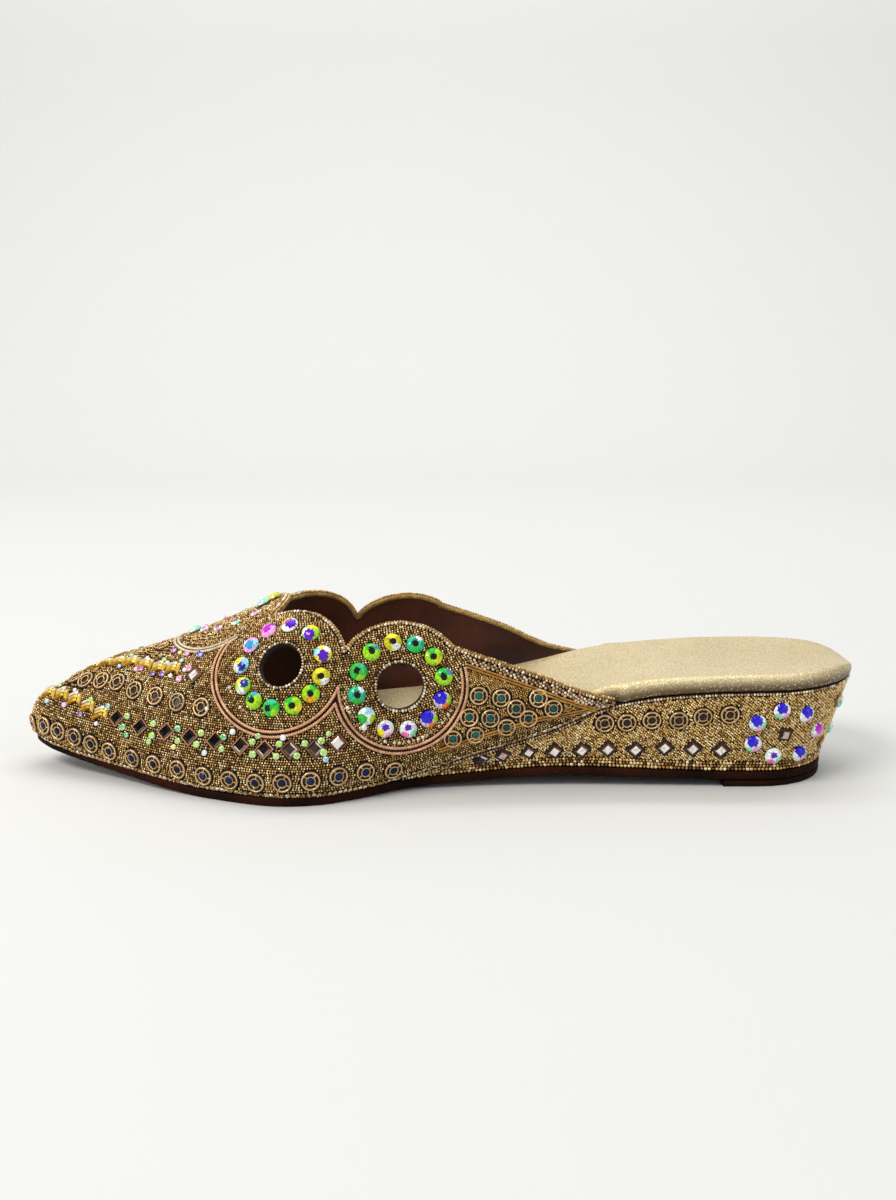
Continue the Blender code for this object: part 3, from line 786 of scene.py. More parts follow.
class Sewing:
    """The two geometry trees that put every repeated thing in its place.

    "set" puts a copy of a shape on each point of a cloud, turned and stretched by the point's own values.
    "string" threads copies evenly along a path, each turned to the path and away from the surface.
    """

    TAKES = {"Geometry": "Geometry", "Shapes": "Collection", "Material": "Material"}
    VARIES = {"Spread": 0.0, "Seed": 7}

    def __init__(self) -> None:
        """Builds both trees once, and an empty store of shapes."""
        self.set_tree = self._build_set()
        self.string_tree = self._build_string()
        self.shapes: dict[str, bpy.types.Collection] = {}

    @staticmethod
    def _end(
        tree: Tree, source: dict, target: Node, points: Socket, turn: Socket, stretch: Socket, kind: object
    ) -> Tree:
        """Ends a tree: copies on the points, a little uneven in size, made into real faces with a material.

        Args:
            tree: The tree.
            source: Its input sockets by name.
            target: Its output node.
            points: Where the copies go.
            turn: Each copy's rotation.
            stretch: Each copy's own stretch.
            kind: The number of the shape among the stored ones.

        Returns:
            The tree.
        """
        low, high = (calc(tree, way, 1.0, source["Spread"]) for way in ("SUBTRACT", "ADD"))
        ends = {"Min": low, "Max": high, "Seed": source["Seed"]}
        spread = node(tree, "FunctionNodeRandomValue", ends, data_type="FLOAT")
        size = calc(tree, "MULTIPLY", source["Size"], out(spread))
        scale = node(tree, "ShaderNodeVectorMath", {0: stretch, "Scale": size}, operation="SCALE")
        stored = {"Collection": source["Shapes"], "Separate Children": True, "Reset Children": True}
        shapes = node(tree, "GeometryNodeCollectionInfo", stored)
        copies = {"Points": points, "Instance": out(shapes), "Pick Instance": True, "Instance Index": kind}
        copies = node(tree, "GeometryNodeInstanceOnPoints", copies | {"Rotation": turn, "Scale": out(scale)})
        real = node(tree, "GeometryNodeRealizeInstances", {"Geometry": out(copies)})
        done = node(tree, "GeometryNodeSetMaterial", {"Geometry": out(real), "Material": source["Material"]})
        tree.links.new(out(done), target.inputs["Geometry"])
        return tree

    def _build_set(self) -> Tree:
        """The tree that sets a shape on each point."""
        takes = self.TAKES | {"Size": 1.0} | self.VARIES
        tree, source, target = new_group("Set on cloth", "GeometryNodeTree", takes, ["Geometry"])
        turn = node(tree, "FunctionNodeEulerToRotation", {"Euler": named(tree, "euler")})
        stretch, kind = named(tree, "stretch"), named(tree, "kind", "INT")
        return self._end(tree, source, target, source["Geometry"], out(turn), stretch, kind)

    def _build_string(self) -> Tree:
        """The tree that threads a shape along a path."""
        takes = self.TAKES | {"Spacing": 0.001, "Size": 1.0, "Form": (1.0, 1.0, 1.0), "Slant": 0.0} | self.VARIES
        tree, source, target = new_group("String along", "GeometryNodeTree", takes, ["Geometry"])
        curve = node(tree, "GeometryNodeMeshToCurve", {"Mesh": source["Geometry"]})
        even = {"Curve": out(curve), "Length": source["Spacing"]}
        even = node(tree, "GeometryNodeResampleCurve", even, mode="LENGTH")
        chance = {"Min": 0.0, "Max": 1.0, "Seed": source["Seed"]}
        chance = node(tree, "FunctionNodeRandomValue", chance, data_type="FLOAT")
        points = {"Geometry": out(even), "Name": "chance", "Value": out(chance)}
        points = node(tree, "GeometryNodeStoreNamedAttribute", points, data_type="FLOAT", domain="POINT")
        tangent = out(node(tree, "GeometryNodeInputTangent"))
        ahead = node(tree, "FunctionNodeAlignRotationToVector", {"Vector": tangent}, axis="X")
        upright = {"Rotation": out(ahead), "Vector": named(tree, "away")}
        upright = node(tree, "FunctionNodeAlignRotationToVector", upright, axis="Z", pivot_axis="X")
        slant = node(tree, "FunctionNodeAxisAngleToRotation", {"Axis": (0.0, 0.0, 1.0), "Angle": source["Slant"]})
        turned = {"Rotation": out(upright), "Rotate By": out(slant)}
        turned = node(tree, "FunctionNodeRotateRotation", turned, rotation_space="LOCAL")
        return self._end(tree, source, target, out(points), out(turned), source["Form"], 0)

    def keep(self, name: str, *shapes: Obj) -> None:
        """Stores shapes under one name; a point's kind picks among them in this order."""
        store = bpy.data.collections.new("shapes_" + name)
        bpy.context.scene.collection.children.link(store)
        for i, shape in enumerate(shapes):
            for old in list(shape.users_collection):
                old.objects.unlink(shape)
            shape.name = f"shape_{name}_{i:02d}"
            store.objects.link(shape)
        self.shapes[name] = store

    def clear(self) -> None:
        """Removes the stored shapes when everything is sewn on."""
        for store in self.shapes.values():
            for shape in list(store.objects):
                bpy.data.objects.remove(shape)
            bpy.data.collections.remove(store)
        self.shapes.clear()

    def _run(self, made: Obj, tree: Tree, shape: str, finish: Material, **values: object) -> Obj:
        """Runs a tree on an object and leaves the result as its plain mesh."""
        values |= {"Shapes": self.shapes[shape], "Material": finish}
        modifier = made.modifiers.new("sewing", "NODES")
        modifier.node_group = tree
        for item in tree.interface.items_tree:
            if item.item_type == "SOCKET" and item.in_out == "INPUT" and item.name in values:
                modifier[item.identifier] = values[item.name]
        bpy.context.view_layer.update()
        graph = bpy.context.evaluated_depsgraph_get()
        source = made.evaluated_get(graph)
        mesh = bpy.data.meshes.new_from_object(source, preserve_all_data_layers=True, depsgraph=graph)
        made.modifiers.clear()
        old, made.data = made.data, mesh
        bpy.data.meshes.remove(old)
        for name in ("euler", "stretch", "kind", "away"):
            if name in mesh.attributes:
                mesh.attributes.remove(mesh.attributes[name])
        tint = mesh.attributes.get("tint")
        if tint and tint.domain == "POINT":
            colours, corners = np.empty(len(mesh.vertices) * 4, np.float32), np.empty(len(mesh.loops), np.int32)
            tint.data.foreach_get("color", colours)
            mesh.loops.foreach_get("vertex_index", corners)
            mesh.attributes.remove(tint)
            layer = mesh.color_attributes.new("tint", "FLOAT_COLOR", "CORNER")
            layer.data.foreach_set("color", colours.reshape(-1, 4)[corners].ravel())
        return made

    def set(
        self, name: str, shape: str, spots: Spots, finish: Material, size: float = 1.0, spread: float = 0.0,
        **attributes: Array,
    ) -> Obj:
        """Sets a stored shape on each point.

        Args:
            name: The result's name.
            shape: The stored shape.
            spots: Where the copies go, each copy's x direction and its direction away from the surface.
            finish: The material.
            size: Scale of every copy.
            spread: How far single sizes differ from it, as a share.
            attributes: More values on the points, such as chance, tint, kind or stretch.

        Returns:
            A plain mesh object.
        """
        points, x, away = spots
        attributes.setdefault("stretch", np.ones((len(points), 3)))
        attributes.setdefault("kind", np.zeros(len(points)))
        attributes.setdefault("chance", np.random.default_rng(self.VARIES["Seed"]).random(len(points)))
        cloud = point_cloud(name, points, euler=euler_of(x, away), **attributes)
        return self._run(cloud, self.set_tree, shape, finish, Size=size, Spread=spread, Seed=self.VARIES["Seed"])

    def string(
        self, name: str, shape: str, path: Path, finish: Material, spacing: float, size: float = 1.0,
        form: tuple = (1.0, 1.0, 1.0), slant: float = 0.0, spread: float = 0.0, seed: int = 7, loop: bool = False,
    ) -> Obj:
        """Threads a stored shape along a path.

        Args:
            name: The result's name.
            shape: The stored shape.
            path: Its points and the surface's outward directions there.
            finish: The material.
            spacing: Distance from one copy to the next.
            size: Scale of every copy.
            form: The copy's own stretch along, across and away from the surface.
            slant: Turn of a copy about the outward direction, in degrees.
            spread: How far single sizes differ, as a share.
            seed: For the spread and for each copy's chance.
            loop: Whether the path closes on itself.

        Returns:
            A plain mesh object.
        """
        points, away = path
        edges = [(i, i + 1) for i in range(len(points) - 1)] + [(len(points) - 1, 0)] * loop
        line = point_cloud(name, points, edges, away=away)
        sizes = {"Spacing": spacing * MM, "Size": size, "Form": form, "Slant": math.radians(slant)}
        return self._run(line, self.string_tree, shape, finish, Spread=spread, Seed=seed, **sizes)


# The shapes that are sewn on, each at its real size round the origin with +z away from the cloth


def bead_shape() -> Obj:
    """A round seed bead of diameter 1, in twenty faces."""
    phi = (1 + math.sqrt(5)) / 2
    points = [(-1, phi, 0), (1, phi, 0), (-1, -phi, 0), (1, -phi, 0), (0, -1, phi), (0, 1, phi)]
    points += [(0, -1, -phi), (0, 1, -phi), (phi, 0, -1), (phi, 0, 1), (-phi, 0, -1), (-phi, 0, 1)]
    faces = [(0, 11, 5), (0, 5, 1), (0, 1, 7), (0, 7, 10), (0, 10, 11), (1, 5, 9), (5, 11, 4), (11, 10, 2)]
    faces += [(10, 7, 6), (7, 1, 8), (3, 9, 4), (3, 4, 2), (3, 2, 6), (3, 6, 8), (3, 8, 9), (4, 9, 5)]
    faces += [(2, 4, 11), (6, 2, 10), (8, 6, 7), (9, 8, 1)]
    return make_object("bead", unit(np.array(points, float)) * 0.5, faces)


def on_circle(radius: float, angle: float) -> tuple[float, float]:
    """A point on a circle round the origin."""
    return radius * math.cos(angle), radius * math.sin(angle)


def wire_loop(radius: float, wire: float, around: int, height: float, turn: float = 0.0, sides: int = 4) -> tuple:
    """A loop of wire lying on the cloth.

    Args:
        radius: To the wire's middle.
        wire: The wire's diameter.
        around: How many straight pieces the loop has; four make a square frame.
        height: Of the wire's middle above the cloth.
        turn: Angle of the first corner, in degrees.
        sides: How many sides the wire itself has.

    Returns:
        Points and faces.
    """
    points, faces = [], []
    corner = wire / 2 / (math.cos(math.pi / around) if around < 8 else 1.0)
    for i in range(around):
        a, k = math.tau * i / around + math.radians(turn), (i + 1) % around
        for j in range(sides):
            b, m = math.tau * (j + 0.5) / sides, (j + 1) % sides
            points.append((*on_circle(radius + corner * math.cos(b), a), height + wire / 2 * math.sin(b)))
            faces.append((i * sides + j, k * sides + j, k * sides + m, i * sides + m))
    return np.array(points), faces


def wire_bar(start: Sequence[float], end: Sequence[float], wire: float, height: float) -> tuple:
    """A straight piece of wire between two points above the cloth, whose ends go under others."""
    a, b = np.array([*start, height]), np.array([*end, height])
    side, rise = np.cross((0, 0, 1), unit(b - a)) * wire / 2, np.array([0, 0, wire / 2])
    points = [end + way for end in (a, b) for way in (-side, rise, side, -rise)]
    faces = [(i, 4 + i, 4 + (i + 1) % 4, (i + 1) % 4) for i in range(4)] + [(0, 1, 2, 3), (7, 6, 5, 4)]
    return np.array(points), faces


def gathered(name: str, parts: Sequence[tuple], smooth: bool = True) -> Obj:
    """One object from several sets of points and faces."""
    points, faces, start = [], [], 0
    for part_points, part_faces in parts:
        points.append(part_points)
        faces += [tuple(start + i for i in face) for face in part_faces]
        start += len(part_points)
    return make_object(name, np.concatenate(points), faces, smooth)


def dome(rows: Sequence[tuple[float, float]], around: int, turn: float = 0.0, stagger: bool = False) -> tuple:
    """A low cut or rounded body: rings of radius and height from the outside in, closed on top.

    Args:
        rows: (radius, height) of each ring; the last one's radius may be 0 for a point.
        around: How many corners each ring has.
        turn: Angle of the first corner, in degrees.
        stagger: Whether every other ring is turned by half a step, which makes triangular facets.

    Returns:
        Points and faces.
    """
    points, faces, pointed = [], [], rows[-1][0] == 0
    rings = rows[:-1] if pointed else rows
    for k, (radius, height) in enumerate(rings):
        shift = 0.5 * (k % 2) if stagger else 0.0
        angles = [math.tau * (i + shift) / around + math.radians(turn) for i in range(around)]
        points += [(*on_circle(radius, angle), height) for angle in angles]
    top = (len(rings) - 1) * around
    for k in range(len(rings) - 1):
        for i in range(k * around, (k + 1) * around):
            j = k * around + (i + 1) % around
            a, b, c, d = i, j, j + around, i + around
            split = [(a, b, c), (a, c, d)] if k % 2 else [(a, b, d), (b, c, d)]
            faces += split if stagger else [(a, b, c, d)]
    if pointed:
        points.append((0.0, 0.0, rows[-1][1]))
        faces += [(top + i, top + (i + 1) % around, len(points) - 1) for i in range(around)]
    else:
        faces.append(tuple(top + i for i in range(around)))
    faces.append(tuple(reversed(range(around))))
    return np.array(points), faces


def tinted(made: Obj, tone_of: Callable[[bpy.types.MeshPolygon], Colour]) -> Obj:
    """Gives each facet of a stone its own linear colour."""
    layer = made.data.color_attributes.new("tint", "FLOAT_COLOR", "CORNER")
    colours = np.empty((len(made.data.loops), 4))
    for polygon in made.data.polygons:
        colours[list(polygon.loop_indices)] = (*tone_of(polygon), 1.0)
    layer.data.foreach_set("color", colours.ravel())
    return made


GREEN, LIME, OLIVE, TEAL = (40, 190, 60), (160, 220, 20), (204, 200, 30), (40, 186, 140)
VIOLET, MAGENTA, ROYAL, NAVY = (92, 16, 190), (196, 30, 214), (34, 8, 206), (16, 34, 150)
PALE, PLUM, SKY = (214, 206, 222), (150, 22, 120), (60, 150, 210)
WHITE, PINK, ROSE, ORANGE = (240, 246, 240), (246, 172, 226), (250, 120, 190), (246, 128, 44)
# DARK is the colour of the painted dark reflection in the stones' eyes
ICE, MINT, YELLOW, AMBER, DARK = (150, 214, 236), (150, 232, 190), (240, 226, 40), (236, 176, 24), (8, 10, 10)


class Stone(Enum):
    """The looks of the coated stones: a body colour and round patches of painted reflection, where facets catch the
    room; the white patches are painted highlights and the DARK eyes a painted reflection of dark surroundings.

    A patch has the direction in degrees, the distance from the middle and the radius, both as shares of the
    stone's, and a colour; the later ones lie on top.
    """

    # each patch is painted reflection on the coated facets: white ones painted highlights, DARK ones a painted dark
    # reflection
    VIOLET_GOLD = (WHITE, (130, 0.75, 0.62, AMBER), (75, 0.8, 0.35, YELLOW), (-40, 0.28, 0.62, VIOLET))
    VIOLET_LIME = (LIME, (160, 0.85, 0.5, WHITE), (60, 0.7, 0.5, YELLOW), (-115, 0.42, 0.6, VIOLET))
    VIOLET_SUN = (YELLOW, (160, 0.8, 0.5, ICE), (40, 0.85, 0.5, WHITE), (-80, 0.35, 0.6, VIOLET))
    OLIVE_EYE = (OLIVE, (-60, 0.85, 0.5, WHITE), (100, 0.8, 0.5, YELLOW), (190, 0.12, 0.36, DARK))
    AMBER_EYE = (LIME, (-100, 0.8, 0.6, AMBER), (60, 0.85, 0.45, GREEN), (120, 0.1, 0.38, DARK))
    LIME_EYE = (LIME, (-40, 0.85, 0.5, YELLOW), (110, 0.8, 0.45, GREEN), (180, 0.1, 0.38, DARK))
    GREEN_EYE = (GREEN, (60, 0.9, 0.55, TEAL), (-70, 0.85, 0.5, LIME), (165, 0.22, 0.38, DARK))
    SPRING_EYE = (LIME, (100, 0.8, 0.75, GREEN), (40, 0.95, 0.4, SKY), (120, 0.12, 0.40, DARK))
    SPRING_BLUE = (LIME, (90, 0.8, 0.6, YELLOW), (-120, 0.8, 0.5, WHITE), (5, 0.42, 0.48, NAVY))
    TEAL_EYE = (TEAL, (-90, 0.85, 0.6, GREEN), (60, 0.95, 0.45, WHITE), (140, 0.1, 0.40, DARK))
    PEARL_BLUE = (ICE, (95, 0.75, 0.65, YELLOW), (200, 0.7, 0.45, WHITE), (-70, 0.45, 0.48, NAVY))
    ICE_BLUE = (PINK, (150, 0.8, 0.5, WHITE), (-30, 0.85, 0.5, ICE), (-90, 0.2, 0.58, SKY))
    MAGENTA_PINK = (PINK, (170, 0.8, 0.5, ROSE), (30, 0.8, 0.4, VIOLET), (-40, 0.12, 0.55, MAGENTA))
    PEARL_GREEN = (WHITE, (210, 0.7, 0.6, GREEN), (-20, 0.75, 0.5, LIME), (80, 0.7, 0.35, ICE))
    PEARL_ROSE = (WHITE, (-60, 0.75, 0.5, PINK), (210, 0.8, 0.5, YELLOW), (120, 0.3, 0.42, VIOLET))
    PEARL_MINT = (WHITE, (-30, 0.8, 0.5, MINT), (-120, 0.8, 0.45, ROSE), (110, 0.3, 0.40, VIOLET))
    ROYAL_ORANGE = (PALE, (10, 0.9, 0.5, LIME), (-60, 0.75, 0.5, ORANGE), (125, 0.45, 0.72, ROYAL))
    ROYAL_PINK = (WHITE, (-75, 0.65, 0.5, PINK), (-10, 0.85, 0.5, MINT), (115, 0.42, 0.62, ROYAL))
    ROYAL_ROSE = (WHITE, (-120, 0.8, 0.5, MINT), (-50, 0.65, 0.5, PINK), (105, 0.45, 0.6, ROYAL))
    MAGENTA_PEARL = (WHITE, (-100, 0.7, 0.6, PINK), (0, 0.85, 0.4, YELLOW), (110, 0.35, 0.6, MAGENTA))
    MINT_ROSE = (WHITE, (100, 0.8, 0.5, MINT), (-90, 0.8, 0.5, PINK), (0, 0.06, 0.5, PLUM))
    ICE_VIOLET = (WHITE, (130, 0.8, 0.5, ICE), (-60, 0.8, 0.5, MINT), (0, 0.06, 0.5, VIOLET))
    MINT_GREEN = (MINT, (120, 0.6, 0.5, WHITE), (-50, 0.6, 0.6, GREEN), (30, 0.8, 0.4, TEAL))
    MINT_PALE = ((196, 232, 206), (120, 0.6, 0.5, WHITE), (-50, 0.8, 0.45, MINT))
    YELLOW_PALE = ((232, 222, 110), (120, 0.5, 0.5, WHITE), (-60, 0.8, 0.5, OLIVE))
    ICE_PALE = ((196, 226, 230), (100, 0.5, 0.5, WHITE), (-60, 0.8, 0.45, MINT))

    def shape(self, diameter: float = 5.4, sectors: int = 20) -> Obj:
        """The stone: a girdle, two bands of facets and a flat table, each facet in its own colour."""
        r, (body, *patches) = diameter / 2, self.value

        def tone_of(polygon: bpy.types.MeshPolygon) -> Colour:
            """The colour of the last patch over a facet's middle, each facet a little lighter or darker as painted
            light, and painted shade on the rim facets.
            """
            x, y = (v / (r * MM) for v in polygon.center[:2])
            tone = body
            for degrees, away, radius, colour in patches:
                at = on_circle(away, math.radians(degrees))
                tone = colour if math.hypot(x - at[0], y - at[1]) < radius else tone
            # painted light: each facet lit a little more or less, by its number
            shade = 0.86 + 0.28 * math.sin(polygon.index * 2.399) ** 2
            # painted shade on the girdle's rim facets
            rim = 0.62 if x**2 + y**2 > 0.93 else 1.0
            return tuple(min(1.0, c * shade * rim) for c in linear(tone))

        cut = [(r, 0.0), (r, 0.45), (r * 0.84, 1.05), (r * 0.60, 1.5), (r * 0.36, 1.62), (0.0, 1.66)]
        return tinted(make_object("stone", *dome(cut, sectors, stagger=True), smooth=False), tone_of)


@dataclass(frozen=True)
class Medallion:
    """A round metal mount sewn on the cloth: two wire rings, spokes and a dark cup, partly a painted shadow, with or
    without a stone.
    """

    outer: float = 5.9
    inner: float = 2.75
    wire: float = 0.66
    rise: float = 0.35

    def wires(self) -> Obj:
        """The rings and the four spokes."""
        middle, thin = (self.outer - self.wire) / 2, self.wire * 0.75
        parts = [
            wire_loop(middle, self.wire, 20, self.rise),
            wire_loop(self.inner / 2, thin, 12, self.rise + 0.15, sides=3),
        ]
        for k in range(4):
            ends = (on_circle(r, math.radians(45 + 90 * k)) for r in (self.inner / 2, middle))
            parts.append(wire_bar(*ends, thin, self.rise + 0.05))
        return gathered("medallion_wires", parts)

    def cup(self) -> Obj:
        """The dark dished cup under the wires, a little wider than they are: partly the mount's dark backing, partly
        a painted shadow round the wires.
        """
        return make_object("cup", *dome([(3.15, -0.3), (3.15, 0.12), (2.7, 0.26), (1.6, 0.2), (0.0, 0.22)], 16))

    def stone(self) -> Obj:
        """The small cut stone in the middle."""
        rows = [(1.12, 0.1), (1.12, 0.4), (0.7, 0.8), (0.0, 0.92)]
        return make_object("cup_stone", *dome(rows, 8, 22.5), smooth=False)


@dataclass(frozen=True)
class Diamond:
    """A square glass in a wire frame, sewn on as a lozenge; the frame's own corners lie on x and y."""

    glass: float = 3.2
    frame: float = 4.3
    wire: float = 0.5
    height: float = 0.75
    table: float = 0.7

    def mount(self) -> Obj:
        """The wire frame."""
        corner = self.frame / math.sqrt(2)
        return gathered("frame", [wire_loop(corner - self.wire / 2, self.wire, 4, 0.3)], smooth=False)

    def tray(self) -> Obj:
        """The dark square setting, wider than the frame: partly the setting, partly a painted shadow round the frame.
        """
        corner = (self.frame / 2 + 0.26) * math.sqrt(2)
        return make_object("tray", *dome([(corner, -0.3), (corner, 0.1), (corner * 0.9, 0.2)], 4), smooth=False)

    def cut(self) -> Obj:
        """The glass: a flat table inside four bevels."""
        corner, top = self.glass / math.sqrt(2), self.glass * self.table / math.sqrt(2)
        rows = [(corner, 0.0), (corner, self.height * 0.45), (top, self.height)]
        return make_object("glass", *dome(rows, 4), smooth=False)


@dataclass(frozen=True)
class Baguette:
    """A narrow bar of cut glass without a frame, sewn on in zigzags."""

    length: float = 3.9
    width: float = 1.1
    height: float = 0.95

    def cut(self) -> Obj:
        """The bar: a flat table inside four bevels."""
        corner = math.sqrt(0.5)
        points, faces = dome([(corner, -0.1), (corner, 0.4), (corner * 0.55, 1.0)], 4, 45.0)
        return make_object("bar", points * (self.length, self.width, self.height), faces, smooth=False)


def gem_shape() -> Obj:
    """A small pointed stone of diameter 1, cut in eight, whose rim facets flash white by turns as a painted
    highlight.
    """
    made = make_object("gem", *dome([(0.5, -0.1), (0.5, 0.14), (0.32, 0.36), (0.0, 0.42)], 8), smooth=False)
    # rim: the share of painted white highlight on each facet
    rim = [0.3] * 8 + [0.9, 0.25] * 4 + [0.0, 0.0, 0.35, 0.0] * 2 + [0.0]
    made.data.attributes.new("rim", "FLOAT", "FACE").data.foreach_set("value", rim)
    return made


# Finishes


class Paint:
    """A material while its nodes are placed, with short ways to add what the finishes have in common."""

    groups: dict[str, Tree] = {}

    def __init__(self, name: str) -> None:
        """Starts the material with its one shader."""
        self.made = bpy.data.materials.new(name)
        self.made.use_nodes = True
        self.tree = self.made.node_tree
        self.shader = self.tree.nodes["Principled BSDF"]

    def feed(self, **values: object) -> None:
        """Links or sets the shader's inputs; an underscore stands for a space in their names."""
        for key, value in values.items():
            put(self.tree, self.shader.inputs[key.replace("_", " ")], value)

    def use(self, build: Callable[[], Tree], **values: float) -> Node:
        """Places a shared group with its own values; it is built at its first use."""
        if build.__name__ not in self.groups:
            self.groups[build.__name__] = build()
        made = node(self.tree, "ShaderNodeGroup", node_tree=self.groups[build.__name__])
        for key, value in values.items():
            made.inputs[key].default_value = value
        return made

    def uneven(self, size: float, high: float) -> Socket:
        """A blotchy mask from 0 to the given value."""
        return out(self.use(uneven_group, Size=size, Low=0.0, High=high))

    def carried(self, name: str, output: str = "Fac") -> Socket:
        """A value that the mesh carries."""
        return node(self.tree, "ShaderNodeAttribute", attribute_name=name).outputs[output]

    def mixed(self, mask: object, first: object, second: object, blend: str = "MIX") -> Socket:
        """Mixes two colours, each a socket or a picked colour, by a mask."""
        made = node(self.tree, "ShaderNodeMix", data_type="RGBA", blend_type=blend)
        put(self.tree, made.inputs[0], mask)
        for index, value in ((6, first), (7, second)):
            put(self.tree, made.inputs[index], value if isinstance(value, Socket) else (*linear(value), 1.0))
        return made.outputs[2]

    def ranged(self, value: Socket, low: float, high: float) -> Socket:
        """Spreads a 0-1 value over another range."""
        return out(node(self.tree, "ShaderNodeMapRange", {"Value": value, "To Min": low, "To Max": high}))

    def bump(self, height: Socket, distance: float) -> None:
        """Raises the surface by a height that is 1 at the given distance in millimetres."""
        made = node(self.tree, "ShaderNodeBump", {"Height": height, "Distance": distance * MM, "Strength": 1.0})
        self.feed(Normal=out(made))


def pattern_at(tree: Tree, kind: str, size: Socket, inputs: Optional[dict] = None, **settings: object) -> Node:
    """A pattern fixed to the object, whose size is given in millimetres."""
    scale = calc(tree, "DIVIDE", 1000.0, size)
    place = node(tree, "ShaderNodeTexCoord").outputs["Object"]
    return node(tree, kind, {"Vector": place, "Scale": scale} | (inputs or {}), **settings)


def uneven_group() -> Tree:
    """A soft blotchy mask for tarnish, handling and uneven dye: Size is the blotch's size in millimetres."""
    takes = {"Size": 8.0, "Low": 0.0, "High": 1.0}
    tree, source, target = new_group("Uneven", "ShaderNodeTree", takes, ["Mask"])
    noise = pattern_at(tree, "ShaderNodeTexNoise", source["Size"], {"Detail": 3.0})
    ends = {"From Min": 0.32, "From Max": 0.68, "To Min": source["Low"], "To Max": source["High"]}
    spread = node(tree, "ShaderNodeMapRange", {"Value": out(noise)} | ends)
    tree.links.new(out(spread), target.inputs["Mask"])
    return tree


def glint_group() -> Tree:
    """Fine random cells, for glitter and cut glass: a share of the cells is lit, each by its own amount."""
    takes = {"Size": 0.5, "Share": 0.2}
    tree, source, target = new_group("Glints", "ShaderNodeTree", takes, ["Mask", "Cell"])
    cells = pattern_at(tree, "ShaderNodeTexVoronoi", source["Size"])
    split = node(tree, "ShaderNodeSeparateColor", {"Color": cells.outputs["Color"]})
    edge = calc(tree, "SUBTRACT", 1.0, source["Share"])
    ends = {"From Min": edge, "From Max": 1.0, "To Min": 0.0, "To Max": 1.0}
    lit = node(tree, "ShaderNodeMapRange", {"Value": split.outputs["Red"]} | ends)
    tree.links.new(out(lit), target.inputs["Mask"])
    tree.links.new(split.outputs["Green"], target.inputs["Cell"])
    return tree


def grain_group() -> Tree:
    """Leather grain: small rounded cells with creases between them, and fine dust of detail on top."""
    takes = {"Size": 1.0, "Detail": 0.3}
    tree, source, target = new_group("Grain", "ShaderNodeTree", takes, ["Height", "Crease"])
    warp = pattern_at(tree, "ShaderNodeTexNoise", source["Size"], {"Detail": 4.0})
    cells = pattern_at(tree, "ShaderNodeTexVoronoi", source["Size"], feature="DISTANCE_TO_EDGE")
    ends = {"From Min": 0.0, "From Max": 0.22, "To Min": 1.0, "To Max": 0.0}
    crease = out(node(tree, "ShaderNodeMapRange", {"Value": cells.outputs["Distance"]} | ends))
    fine = calc(tree, "MULTIPLY", out(warp), source["Detail"])
    height = calc(tree, "ADD", calc(tree, "SUBTRACT", 1.0, crease), fine)
    tree.links.new(height, target.inputs["Height"])
    tree.links.new(crease, target.inputs["Crease"])
    return tree


@dataclass(frozen=True)
class Finish:
    """A material: its name and the values every kind of finish has."""

    name: str
    roughness: float = 0.4
    metallic: float = 0.0
    coat: float = 0.0

    def make(self) -> Material:
        """Builds the material."""
        paint = Paint(self.name)
        paint.feed(Roughness=self.roughness, Metallic=self.metallic, Coat_Weight=self.coat, Coat_Roughness=0.08)
        self.colour(paint)
        return paint.made

    def colour(self, paint: Paint) -> None:
        """Places what changes over the surface."""
        raise NotImplementedError


@dataclass(frozen=True)
class BeadFinish(Finish):
    """Glass seed beads with a metal lining: each bead takes its colour from a mixed batch."""

    batch: tuple[tuple[float, Colour], ...] = ()
    tarnish: float = 0.3

    def colour(self, paint: Paint) -> None:
        """Beads from dark to bright by chance, tarnished in patches; the bright ones are smoother."""
        chance = paint.carried("chance")
        ramp = node(paint.tree, "ShaderNodeValToRGB", {"Fac": chance})
        stops = ramp.color_ramp.elements
        while len(stops) < len(self.batch):
            stops.new(0.5)
        for stop, (position, colour) in zip(stops, self.batch):
            stop.position, stop.color = position, (*linear(colour), 1.0)
        bead = ramp.outputs["Color"]
        dull = paint.mixed(1.0, bead, (150, 112, 66), "MULTIPLY")
        rough = paint.ranged(chance, self.roughness + 0.12, max(0.05, self.roughness - 0.08))
        paint.feed(Base_Color=paint.mixed(paint.uneven(14.0, self.tarnish), bead, dull), Roughness=rough)


@dataclass(frozen=True)
class ClothFinish(Finish):
    """A woven or napped cloth: two yarn colours, a weave at its own pitch and uneven dye."""

    light: Colour = (90, 60, 30)
    dark: Colour = (40, 24, 12)
    pitch: float = 0.5
    relief: float = 0.15
    sheen: float = 0.0

    def colour(self, paint: Paint) -> None:
        """The two yarns in patches, dark between the threads."""
        tint = (*linear((190, 120, 70)), 1.0)
        paint.feed(Sheen_Weight=self.sheen, Sheen_Roughness=0.4, Sheen_Tint=tint)
        grain = paint.use(grain_group, Size=self.pitch, Detail=0.6)
        colour = paint.mixed(paint.uneven(18.0, 1.0), self.dark, self.light)
        paint.feed(Base_Color=paint.mixed(grain.outputs["Crease"], colour, self.dark))
        paint.bump(grain.outputs["Height"], self.relief)


